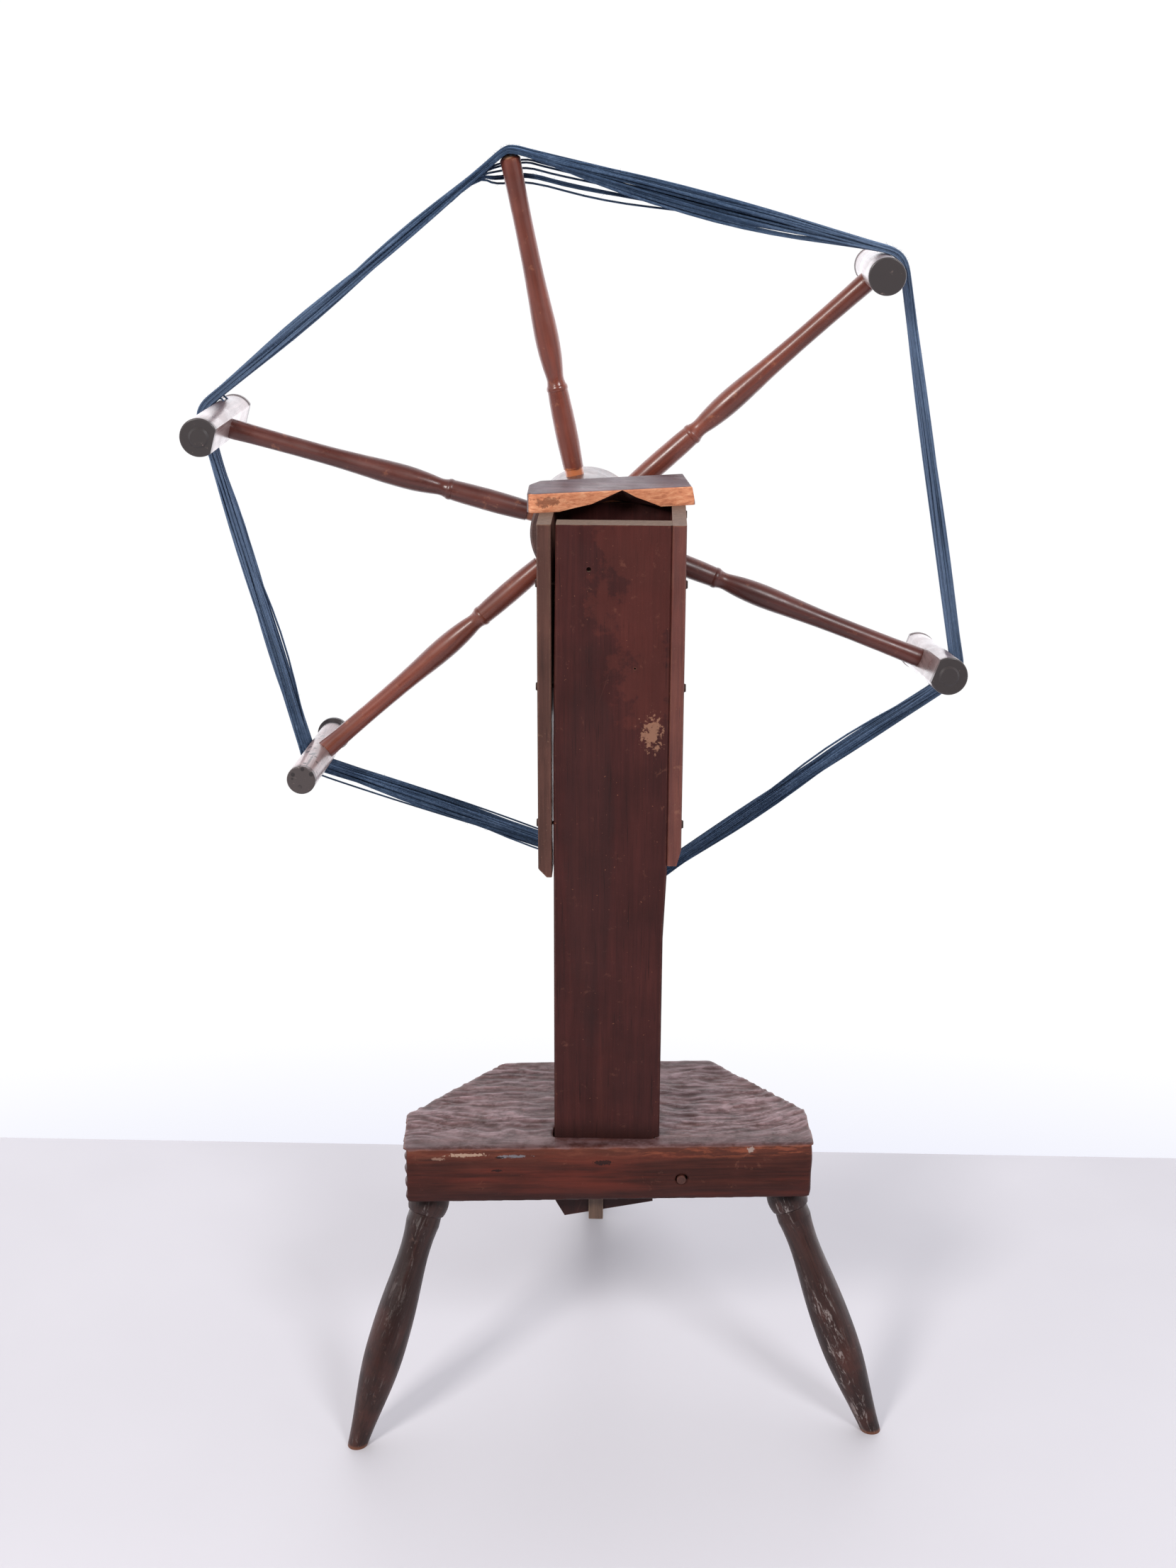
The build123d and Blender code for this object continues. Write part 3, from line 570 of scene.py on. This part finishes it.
def post_marks(s, colour, rough):
    """Warm and dark clouds, a rubbed spot, specks, scratches, a dark foot and a pale top end."""
    warm = spot(s, (0.050, -0.119, 0.67), (0.030, 0.02, 0.10), 0.9, 30.0)
    colour = s.mix(s.times(warm, 0.16), colour, linear(118, 56, 44))
    shade = spot(s, (0.010, -0.119, 0.50), (0.020, 0.02, 0.16), 0.35, 18.0)
    colour = s.mix(s.times(shade, 0.25), colour, linear(44, 28, 28))
    rubbed = spot(s, (0.0560, -0.119, 0.5800), (0.0062, 0.004, 0.0115), 1.5, 330.0)
    colour = s.mix(s.times(rubbed, 0.55), colour, linear(166, 122, 98))
    speck = s.mask(s.noise(s.place(), 430.0, 2.0, 0.5), 0.72, 0.78)
    colour = s.mix(s.times(speck, 0.5), colour, linear(150, 96, 74))
    scratch = s.mask(s.noise(s.grain((0.35, 0, 1), ORIGIN, 60.0), 260.0, 2.0, 0.5), 0.73, 0.79)
    colour = s.mix(s.times(scratch, 0.30), colour, linear(140, 92, 78))
    foot = s.mask(s.dot(s.place(), UP), 0.262, 0.246)
    colour = s.mix(s.times(foot, 0.55), colour, linear(40, 26, 25))
    return end_grain(s, colour, rough, (118, 98, 84), 0.9)


def side_marks(s, colour, rough):
    speck = s.mask(s.noise(s.place(), 520.0, 3.0, 0.6), 0.66, 0.76)
    colour = s.mix(s.times(speck, 0.45), colour, linear(150, 118, 96))
    return end_grain(s, colour, rough, (120, 98, 84), 0.9)


def lid_marks(s, colour, rough):
    """Fresh wood where the lid broke, along its front."""
    fibres = s.noise(s.grain((1, 0.05, 0.02), ORIGIN, 9.0), 420.0, 6.0, 0.7, 0.6)
    fresh = s.ramp(fibres, (0.28, linear(152, 84, 56)), (0.5, linear(206, 132, 94)),
                   (0.74, linear(234, 176, 136)))
    stain = spot(s, (-0.022, -0.078, 0.7425), (0.010, 0.01, 0.004), 0.9, 300.0)
    fresh = s.mix(s.times(stain, 0.6), fresh, linear(84, 44, 30))
    low = s.mask(s.math("ADD", s.dot(s.place(), UP), s.times(fibres, 0.004)), 0.7395, 0.7375)
    fresh = s.mix(s.times(low, 0.35), fresh, linear(112, 60, 38))
    front = s.mask(s.facing(FRONT), 0.45, 0.80)
    return s.mix(front, colour, fresh), s.mix(front, rough, grey(0.7))


RAW_RING = (0.0470, 0.0440)        # from the axle, where a spoke turns to raw wood at the hub
RAW_RING_TOP = (0.0485, 0.0460)    # the same on the spoke without a crossbar
RAW_TIP = (0.2795, 0.2815)         # and where its outer end does


def spoke_marks(angle, bare=False):
    """Raw wood at the hub, dark rings, paler rubs, and a raw tip on the spoke that lost its crossbar."""
    def marks(s, colour, rough):
        along = s.math("SUBTRACT", s.dot(s.place(), radial(angle)), AXLE.dot(radial(angle)))
        ragged = s.times(s.math("SUBTRACT", s.noise(s.place(), 130.0, 4.0), 0.5), 0.006)
        along = s.math("ADD", along, ragged)
        near = s.mask(along, *(RAW_RING_TOP if bare else RAW_RING))
        colour = s.mix(s.times(near, 0.85 if bare else 0.4), colour, linear(190, 110, 66))
        ring = s.mask(s.noise(s.grain(radial(angle), AXLE, 0.05), 70.0, 3.0, 0.6), 0.66, 0.72)
        colour = s.mix(s.times(ring, 0.25), colour, linear(52, 26, 22))
        rubs = s.mask(s.noise(s.place(), 75.0, 5.0, 0.7), 0.60, 0.72)
        colour = s.mix(s.times(rubs, 0.40), colour, linear(168, 106, 76))
        if bare:
            colour = s.mix(s.mask(along, *RAW_TIP), colour, linear(176, 134, 104))
        return colour, rough
    return marks


BAR_END = (0.0640, 0.0665)         # along Y on either side of the axle, where a crossbar's end darkens
BAR_LIP = (0.058, 0.062)           # where the wormy one's back end does


def bar_marks(wormy=False):
    """Dark ends and chips, faces to the front left dark without the painted sheen, and wormholes, a crack and
    a dark lip on the crossbar that has them.
    """
    front_tone = (66, 57, 56) if wormy else (46, 39, 39)

    def marks(s, colour, rough):
        y = s.math("SUBTRACT", s.dot(s.place(), ALONG_Y), AXLE.y)
        end = s.mask(s.math("ABSOLUTE", y), *BAR_END)
        colour = s.mix(s.times(end, 0.75), colour, linear(62, 50, 50))
        # faces to the front are left dark, without the painted sheen
        colour = s.mix(s.mask(s.facing(FRONT), 0.35, 0.8), colour, linear(*front_tone))
        chips = s.mask(s.noise(s.place(), 210.0, 5.0, 0.7), 0.62, 0.70)
        colour = s.mix(s.times(chips, 0.35), colour, linear(150, 128, 120))
        if wormy:
            cells = s.node("ShaderNodeTexVoronoi", {"Vector": s.place(), "Scale": 165.0}).outputs["Distance"]
            some = s.mask(s.noise(s.place(), 60.0, 2.0), 0.42, 0.50)
            holes = s.times(s.mask(cells, 0.36, 0.26), some)
            colour = s.mix(holes, colour, linear(30, 22, 22))
            crack = s.mask(s.noise(s.grain(ALONG_Y, AXLE, 30.0), 95.0, 2.0), 0.66, 0.69)
            colour = s.mix(s.times(crack, 0.8), colour, linear(28, 20, 20))
            colour = s.mix(s.mask(y, *BAR_LIP), colour, linear(44, 34, 36))
        return colour, s.mix(end, rough, grey(0.55))
    return marks


def leg_marks(axis, pale):
    """Pale wear in streaks down the front, reddish clouds and a worn foot."""
    def marks(s, colour, rough):
        worn = s.mask(s.noise(s.grain(axis, ORIGIN, 5.0), 260.0, 7.0, 0.80, 0.8), 0.53, 0.61)
        front = s.mask(s.facing((-0.25, -0.95, 0)), 0.55, 0.98)
        band = s.mask(s.noise(s.grain(axis, ORIGIN, 3.0), 45.0, 2.0), 0.42, 0.58)
        amount = s.times(s.times(worn, front), s.times(band, pale))
        colour = s.mix(amount, colour, linear(176, 164, 160))
        red = s.mask(s.noise(s.place(), 26.0, 3.0), 0.50, 0.68)
        colour = s.mix(s.times(red, 0.25), colour, linear(92, 48, 38))
        foot = s.mask(s.dot(s.place(), UP), 0.0036, 0.0010)
        colour = s.mix(s.times(foot, 0.7), colour, linear(120, 74, 52))
        return colour, rough
    return marks


PLANK_GRAIN = (1, 0.063, 0)        # along the plank's front edge
PLANK_FRONT = (0.063, -1, 0)
PLANK_BACK = (0.063, 1, 0)
# pale scuffs on the plank's front: centre, radii, tone and strength
SCUFFS = (
    ((-0.0850, -0.150, 0.2385), (0.0175, 0.02, 0.0017), (196, 168, 146), 0.6),
    ((-0.0480, -0.148, 0.2370), (0.0120, 0.02, 0.0015), (130, 138, 146), 0.55),
    ((-0.1070, -0.150, 0.2355), (0.0060, 0.02, 0.0013), (170, 136, 118), 0.5),
    ((0.1385, -0.134, 0.2400), (0.0028, 0.02, 0.0026), (176, 168, 160), 0.55),
)
# and its dark gouge, nick and knot: centre and radii
GOUGES = (
    ((0.0220, -0.143, 0.2305), (0.0085, 0.02, 0.0024)),
    ((-0.0595, -0.148, 0.2360), (0.0042, 0.02, 0.0010)),
    ((-0.0610, -0.148, 0.2245), (0.0045, 0.02, 0.0012)),
)


def plank_marks(s, colour, rough):
    """Red wear, pale scuffs and dark gouges on the front, and a painted mauve sheen on the hewn top."""
    z = s.dot(s.place(), UP)
    front = s.mask(s.facing(PLANK_FRONT), 0.55, 0.85)
    # bright torn wood along the top edge's right half
    edge = s.mask(z, 0.2315, 0.2375)
    torn = s.mask(s.noise(s.grain(PLANK_GRAIN, ORIGIN, 6.0), 210.0, 7.0, 0.75), 0.47, 0.60)
    right = s.mask(s.dot(s.place(), ALONG_X), 0.040, 0.070)
    bright = s.times(s.times(edge, torn), s.times(right, 0.5))
    colour = s.mix(s.times(bright, s.mask(s.facing(UP), 0.90, 0.55)), colour, linear(158, 80, 52))
    # red wear on the front, a pale lip above and a dark strip below
    red = s.mask(s.noise(s.grain(PLANK_GRAIN, ORIGIN, 10.0), 70.0, 5.0, 0.6), 0.46, 0.64)
    colour = s.mix(s.times(red, front, 0.45), colour, linear(112, 46, 34))
    lip = s.times(s.mask(z, 0.2270, 0.2430), s.mask(s.facing(UP), 0.98, 0.70))
    colour = s.mix(s.times(lip, s.ramp(torn, (0.0, 0.25), (1.0, 0.55))), colour, linear(128, 74, 56))
    low = s.mask(z, 0.2125, 0.2025)
    colour = s.mix(s.times(low, front, 0.5), colour, linear(50, 28, 27))
    for centre, radii, tone, amount in SCUFFS:
        colour = s.mix(s.times(spot(s, centre, radii, 0.85, 420.0), amount), colour, linear(*tone))
    for centre, radii in GOUGES:
        colour = s.mix(s.times(spot(s, centre, radii, 0.7, 500.0), 0.85), colour, linear(26, 16, 16))
    # a painted mauve sheen on top, strongest on the crests between the cuts, and darker cuts towards the back
    up = s.mask(s.facing(UP), 0.25, 0.85)
    crest = s.node("ShaderNodeAttribute", attribute_name="crest").outputs["Fac"]
    sheen_film = s.mask(s.noise(s.place(), 85.0, 7.0, 0.7), 0.25, 0.62)
    cuts = s.mask(s.noise(s.grain(PLANK_GRAIN, ORIGIN, 9.0), 210.0, 5.0, 0.65, 0.5), 0.47, 0.40)
    sheen_film = s.times(sheen_film, s.math("ADD", s.times(crest, 1.3), 0.30))
    sheen_film = s.math("MULTIPLY", s.times(up, sheen_film), 0.62, clamp=True)
    colour = s.mix(sheen_film, colour, linear(144, 117, 120))
    behind = s.mask(s.dot(s.place(), PLANK_BACK), -0.125, -0.100)
    colour = s.mix(s.times(s.times(up, cuts), s.times(behind, 0.60)), colour, linear(54, 30, 26))
    return colour, s.mix(s.times(up, 0.7), rough, grey(0.40))


def iron():
    s = Shader("old_iron")
    rust = s.noise(s.place(), 700.0, 6.0, 0.7)
    colour = s.ramp(rust, (0.35, linear(34, 28, 28)), (0.6, linear(72, 46, 36)), (0.75, linear(112, 66, 42)))
    rough = s.ramp(rust, (0.3, 0.45), (0.7, 0.85))
    return s.surface(Base_Color=colour, Roughness=rough, Metallic=0.6, Normal=s.bump(rust, 0.0004, 0.6))


WOOL_DARK, WOOL_BLUE, WOOL_LIGHT = (26, 34, 46), (46, 64, 88), (94, 112, 136)
# paler blue of painted light on the outer runs
WOOL_PAINTED_LIGHT = (128, 146, 172)
WOOL_SHEEN = (126, 156, 200)
ALONG_STRAND = (260.0, 0.6, 1.0)   # stretch of the dye's pattern over a strand's own UV


def wool():
    """Blue wool, dyed unevenly along its length, with painted light high up on the outer runs."""
    s = Shader("blue_wool")
    clumps = s.noise(s.place(), 60.0, 5.0, 0.65)
    strand = s.noise(s.place(), 420.0, 3.0, 0.6)
    along = s.vector("MULTIPLY", s.node("ShaderNodeTexCoord").outputs["UV"], ALONG_STRAND)
    dye = s.noise(along.outputs[0], 1.0, 3.0, 0.6)
    tone = s.math("ADD", s.times(clumps, 0.22), s.times(strand, 0.28))
    tone = s.math("ADD", tone, s.times(dye, 0.50))
    stops = zip((0.34, 0.50, 0.66), (WOOL_DARK, WOOL_BLUE, WOOL_LIGHT))
    colour = s.ramp(tone, *((at, linear(*level)) for at, level in stops))
    # painted light: paler high up on the outer runs, where light from the sides falls on them
    aside = s.math("ABSOLUTE", s.math("SUBTRACT", s.dot(s.place(), ALONG_X), AXLE.x))
    painted_light = s.times(s.mask(aside, 0.10, 0.23), s.mask(s.dot(s.place(), UP), 0.50, 0.66))
    colour = s.mix(s.times(painted_light, 0.27), colour, linear(*WOOL_PAINTED_LIGHT))
    fibres = s.bump(s.noise(s.place(), 1900.0, 4.0, 0.7), 0.0006, 0.8)
    return s.surface(Base_Color=colour, Roughness=s.ramp(strand, (0.3, 0.78), (0.7, 0.95)),
                    Specular_IOR_Level=0.2, Sheen_Weight=0.8, Sheen_Roughness=0.5,
                    Sheen_Tint=linear(*WOOL_SHEEN), Normal=fibres)


# tones of each wood, from its dark fibres to its light ones
POST_TONES = ((46, 20, 19), (60, 26, 24), (76, 35, 30))
SIDE_TONES = ((58, 34, 28), (82, 51, 43), (106, 70, 57))
RED_SIDE_TONES = ((70, 36, 32), (96, 50, 42), (120, 70, 55))
LID_TONES = ((64, 47, 47), (90, 68, 69), (124, 100, 103))
SPOKE_TONES = ((74, 32, 25), (112, 54, 40), (146, 80, 58))
# painted shade: darker tones for the left and right spokes
SHADED_SPOKE_TONES = ((54, 26, 24), (84, 42, 36), (112, 60, 50))
HUB_TONES = ((56, 36, 34), (88, 60, 54), (124, 92, 82))
# the crossbars' tones: grey-brown wood lightened by a painted mauve sheen, which faces to the front go
# without
BAR_TONES_WITH_SHEEN = ((86, 66, 64), (128, 106, 104), (168, 148, 148))
WORMY_BAR_TONES_WITH_SHEEN = ((86, 66, 64), (134, 112, 110), (176, 156, 156))
LEG_TONES = ((28, 15, 14), (46, 26, 23), (72, 43, 37))
INNER_TONES = ((84, 56, 38), (122, 86, 60), (160, 122, 90))
PLUG_TONES = ((54, 28, 22), (76, 40, 31), (98, 58, 44))
WEDGE_TONES = ((58, 42, 34), (86, 64, 52), (116, 92, 76))
PLANK_TONES = ((36, 16, 13), (60, 27, 21), (90, 44, 33))
LEG_PALENESS = {"leg_front_left": 0.20, "leg_front_right": 0.60, "leg_rear": 0.3}


def dress_box():
    post = wood("board_wood", UP, POST_TONES, gloss=0.50, specular=0.20, streaky=0.5, wear=(128, 82, 66),
                edge_wear=0.55, dents=0.5, figure=0.8, extra=post_marks)
    for name in ("post", "back_board", "clicker_block"):
        dress(name, post)
    dress("side_board_left", wood("side_wood", UP, SIDE_TONES, gloss=0.5, specular=0.3, streaky=0.6,
                                  wear=(150, 116, 92), edge_wear=0.6, dents=0.6, extra=side_marks))
    dress("side_board_right", wood("side_wood_red", UP, RED_SIDE_TONES, gloss=0.46, streaky=0.6,
                                   wear=(150, 104, 82), edge_wear=0.6, dents=0.6, extra=side_marks))
    dress("lid", wood("lid_wood", (1, 0.05, 0), LID_TONES, gloss=0.42, wear=(160, 122, 100),
                      edge_wear=0.7, dust_and_sheen=0.35, figure=1.3, extra=lid_marks))


def dress_wheel():
    for name, (angle, *_) in SUPPORTS.items():
        # the left and right spokes take the darker tones of painted shade
        shaded = name in ("left", "right")
        spoke = wood("spoke_wood_" + name, radial(angle), SHADED_SPOKE_TONES if shaded else SPOKE_TONES, AXLE,
                     gloss=0.36, coat=0.12 if shaded else 0.32, streaky=0.45, wear=(176, 120, 92),
                     edge_wear=0.0, dents=0.06, pores=0.4, relief_strength=0.04,
                     extra=spoke_marks(angle, name == "top"))
        dress("spoke_" + name, spoke)
    hub = wood("hub_wood", ALONG_Y, HUB_TONES, AXLE, gloss=0.34, coat=0.3, wear=(150, 116, 98),
               edge_wear=0.5, dents=0.8)
    dress("hub", hub)
    dress("axle", hub)
    bars = wood("crossbar_wood", ALONG_Y, BAR_TONES_WITH_SHEEN, AXLE, gloss=0.34, coat=0.5, wear=(176, 152, 144),
                edge_wear=0.3, dents=0.04, relief_strength=0.03, extra=bar_marks())
    for name in ("upper_right", "right", "bottom", "left"):
        dress("crossbar_" + name, bars)
    wormy = wood("crossbar_wood_wormy", ALONG_Y, WORMY_BAR_TONES_WITH_SHEEN, AXLE, gloss=0.36, coat=0.3,
                 wear=(176, 152, 144), edge_wear=0.4, dents=0.5, relief_strength=0.15,
                 extra=bar_marks(wormy=True))
    dress("crossbar_lower_left", wormy)


def dress_legs():
    for name, pale in LEG_PALENESS.items():
        low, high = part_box(name)
        lean = Vector(((low.x + high.x) / 2, (low.y + high.y) / 2, 0)) - PLANK_CENTRE
        axis = Vector((high.x - low.x, high.y - low.y, high.z - low.z))
        axis.x *= -1 if lean.x > 0 else 1
        axis.y *= -1 if lean.y > 0 else 1
        dress(name, wood("leg_wood_" + name.removeprefix("leg_"), axis, LEG_TONES, gloss=0.40, coat=0.12,
                         specular=0.30, wear=(140, 108, 96), edge_wear=0.3, dust_and_sheen=0.1, dents=0.9,
                         extra=leg_marks(axis, pale)))


def dress_fittings():
    inner = wood("inner_wood", ALONG_X, INNER_TONES, gloss=0.55, wear=(176, 140, 104), edge_wear=0.4,
                 dust_and_sheen=0.3)
    for name in ("gear", "gear_arbor", "trip_peg", "worm", "clicker"):
        dress(name, inner)
    dress("edge_plug", wood("plug_wood", ALONG_Y, PLUG_TONES, gloss=0.6))
    dress("tenon_wedge", wood("wedge_wood", UP, WEDGE_TONES, gloss=0.6, wear=(150, 126, 104), dust_and_sheen=0.3))
    rusty = iron()
    for name in ("nails_left", "nails_right", "worm_pin"):
        dress(name, rusty)


# ---- hewn plank ----
VOXEL = 0.0019                     # size of the faces that the plank is rebuilt from
FIRST_SMOOTHING, LAST_SMOOTHING = 0.45, 0.35
SMOOTH_PASSES = 3
SKIN = 0.006                       # how far below the top a vertex still counts as on it
RIM = 0.004                        # strip along the back that is cut least
RIM_SLOPE = 0.016                  # over which the cuts reach their full depth
MORTISE_HALF = 0.040               # the post's hole, in the plank's own axes
MORTISE_BACK, MORTISE_FRONT = -0.030, -0.066
LEFT_END = -0.130
FACES_UP = 0.35                    # least upward part of a normal on the top
LEAST_SIDEWAYS = 0.3               # least sideways part of one on the edge
FACES_FRONT = 0.8                  # least frontward part of one on the front


def wave(x, y, z):
    """Smooth noise between -1 and 1."""
    return noise.noise(Vector((x, y, z)))


def half_wave(x, y, z):
    return 0.5 + 0.5 * wave(x, y, z)


def clamp(value, low=0.0, high=1.0):
    return min(high, max(low, value))


def smooth(bm, verts, factor):
    bmesh.ops.smooth_vert(bm, verts=verts, factor=factor, use_axis_x=True, use_axis_y=True, use_axis_z=True)


def hewn_top(u, w, slow, inset):
    """How deep the adze cut at a place on the plank's top, and how near that place is to a crest.

    u runs along the plank and w across it, from its centre; slow is broad unevenness, and inset is 0 at
    the back edge and 1 away from it."""
    flat_front = clamp((w - MORTISE_FRONT) / 0.020)
    clear_of_post = clamp(abs(u + 0.002) / 0.060 - 0.5, 0.15)
    warp = 0.012 * wave(u * 14, w * 10, 0.7) + 0.004 * wave(u * 45, w * 45, 5)
    bend = 0.12 * u if u < 0 else -0.9 * (u - 0.075) ** 2 / 0.16
    across = w + bend + warp
    long_cut = wave(u * 15, across * 165, 1.7)
    short_cut = wave(u * 40, across * 250, 7.3)
    crest = max(0.0, 1 - 3.2 * abs(long_cut)) ** 1.6 + 0.55 * max(0.0, 1 - 3.0 * abs(short_cut)) ** 1.5
    crest = min(1.0, crest)
    patch = 0.45 + 0.55 * clamp(0.5 + 1.4 * wave(u * 26, w * 60, 9.0))
    rough_here = flat_front * (0.35 + 0.65 * clear_of_post) * (0.25 + 0.75 * inset)
    depth = 0.0002 + 0.0021 * (1 - crest) * patch * rough_here
    depth += 0.0010 * max(0.0, slow + 0.2) * flat_front * inset
    depth += 0.0004 * half_wave(u * 150, w * 150, 2)
    return depth, crest * (0.3 + 0.7 * rough_here)


def hewn_edge(u, w, z, slow, front):
    """How far the plank's edge is worn back: a little in front, and chopped elsewhere."""
    depth = 0.0004 + 0.0005 * half_wave(u * 90, w * 90, z * 90)
    if not front:
        depth += 0.0045 * half_wave(u * 55, w * 55, z * 30) ** 1.5
        if u < LEFT_END:
            depth += 0.0034 * (0.5 + 0.5 * math.sin(z * 560 + w * 60 + 9 * slow))
    return depth


def add_plank():
    """The plank again, with its adze-cut top, rounded edges and ragged ends, kept inside the CAD shape."""
    holder = bpy.data.objects.new("plank_rough", nodes["plank"].data.copy())
    bpy.context.scene.collection.objects.link(holder)
    remesh = holder.modifiers.new("remesh", "REMESH")
    remesh.mode = "VOXEL"
    remesh.voxel_size = VOXEL
    mesh = bpy.data.meshes.new_from_object(holder.evaluated_get(bpy.context.evaluated_depsgraph_get()))
    bpy.data.objects.remove(holder)
    _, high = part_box("plank")
    bm = bmesh.new()
    bm.from_mesh(mesh)
    for _ in range(SMOOTH_PASSES):
        smooth(bm, bm.verts, FIRST_SMOOTHING)
    bm.normal_update()
    # nearness to a crest, which sets how strong the painted sheen on the top is
    crests = bm.verts.layers.float.new("crest")
    moves = []
    turn = Matrix.Rotation(-PLANK_TURN, 3, "Z")
    for v in bm.verts:
        p, n = v.co, v.normal
        local = turn @ (p - PLANK_CENTRE)
        u, w = local.x, local.y
        slow = wave(u * 22, w * 22, 3.1)
        side = Vector((n.x, n.y, 0))
        in_mortise = abs(u) < MORTISE_HALF and MORTISE_FRONT < w < MORTISE_BACK
        move = Vector((0, 0, 0))
        if n.z > FACES_UP and p.z > high.z - SKIN:
            inset = clamp((high.y - RIM - p.y) / RIM_SLOPE)
            depth, v[crests] = hewn_top(u, w, slow, inset)
            move.z -= depth
        elif n.z < FACES_UP and side.length > LEAST_SIDEWAYS and not in_mortise:
            side.normalize()
            front = (turn @ side).y < -FACES_FRONT
            move -= side * hewn_edge(u, w, p.z, slow, front)
        moves.append(move)
    for v, move in zip(bm.verts, moves):
        v.co += move
    smooth(bm, bm.verts, LAST_SMOOTHING)
    bm.normal_update()
    for face in bm.faces:
        face.smooth = True
    bm.to_mesh(mesh)
    bm.free()
    plank = bpy.data.objects.new("hewn_plank", mesh)
    bpy.context.scene.collection.objects.link(plank)
    grain = (math.cos(PLANK_TURN), math.sin(PLANK_TURN), 0)
    mesh.materials.clear()
    mesh.materials.append(wood("plank_wood", grain, PLANK_TONES, gloss=0.50, specular=0.2, wear=(150, 98, 78),
                               edge_wear=0.0, dents=1.0, figure=1.2, extra=plank_marks))
    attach(plank, "frame")
    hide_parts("plank")


# ---- hairs on the yarn ----
HAIRS = 2600
HAIR_LENGTHS = (0.0016, 0.0042)
HAIR_LEAN = 1.2                    # along the strand, as a share of the hair's length
HAIR_ROOT = YARN * 0.42            # from the strand's centreline
HAIR_DROOP = 0.3                   # share of its height that a hair loses towards its tip
HAIR_RINGS = ((0.0, 0.00009), (0.5, 0.00006))      # share of the way up, and radius there
HAIR_CORNERS = (0.0, 2.094, 4.189)                 # thirds of a turn, for a ring's three points


def add_fuzz(name, line, material, seed):
    """Fine hairs standing off the yarn."""
    chance = random.Random(seed)
    bm = bmesh.new()
    for _ in range(HAIRS):
        k = chance.randrange(1, len(line) - 1)
        along = (line[k + 1] - line[k - 1]).normalized()
        at = line[k].lerp(line[k + 1], chance.random())
        away = Vector([chance.gauss(0, 1) for _ in range(3)])
        away = (away - along * away.dot(along)).normalized()
        length = chance.uniform(*HAIR_LENGTHS)
        lean = along * chance.uniform(-HAIR_LEAN, HAIR_LEAN)
        across = along.cross(away).normalized()
        root, middle = [], []
        for ring, (share, thick) in zip((root, middle), HAIR_RINGS):
            height = HAIR_ROOT + length * share * (1 - HAIR_DROOP * share)
            place = at + away * height + lean * length * share
            for turn in HAIR_CORNERS:
                ring.append(bm.verts.new(place + (across * math.cos(turn) + along * math.sin(turn)) * thick))
        tip = bm.verts.new(at + away * (HAIR_ROOT + length * (1 - HAIR_DROOP)) + lean * length)
        bm.faces.new(root[::-1])
        for i, j in ((0, 1), (1, 2), (2, 0)):
            bm.faces.new((root[i], root[j], middle[j], middle[i]))
            bm.faces.new((middle[i], middle[j], tip))
    mesh = bpy.data.meshes.new(name)
    bm.to_mesh(mesh)
    bm.free()
    mesh.materials.append(material)
    fuzz = bpy.data.objects.new(name, mesh)
    bpy.context.scene.collection.objects.link(fuzz)
    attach(fuzz, "wheel")
    return fuzz


bpy.context.scene.view_settings.view_transform = "Standard"
add_camera()
add_world()
add_floor()
add_light("key", (-1.30, -2.00, 2.10), 0.6, 49, (1.0, 0.98, 0.95))
add_light("fill", (1.25, -1.85, 2.20), 0.7, 34, (0.97, 0.98, 1.0))

dress_box()
dress_wheel()
dress_legs()
dress_fittings()
add_plank()
yarn_material = wool()
yarn_chance = random.Random(ROUTE_SEED)
for k, slots in enumerate(skein_slots()):
    skein = add_skein(("skein_inner", "skein_outer")[k], skein_route(k, slots, yarn_chance), yarn_material)
    line = centreline(skein)
    fuzz = add_fuzz("skein_hairs_%d" % (k + 1), line, yarn_material, HAIR_SEED + k)

bpy.context.view_layer.update()
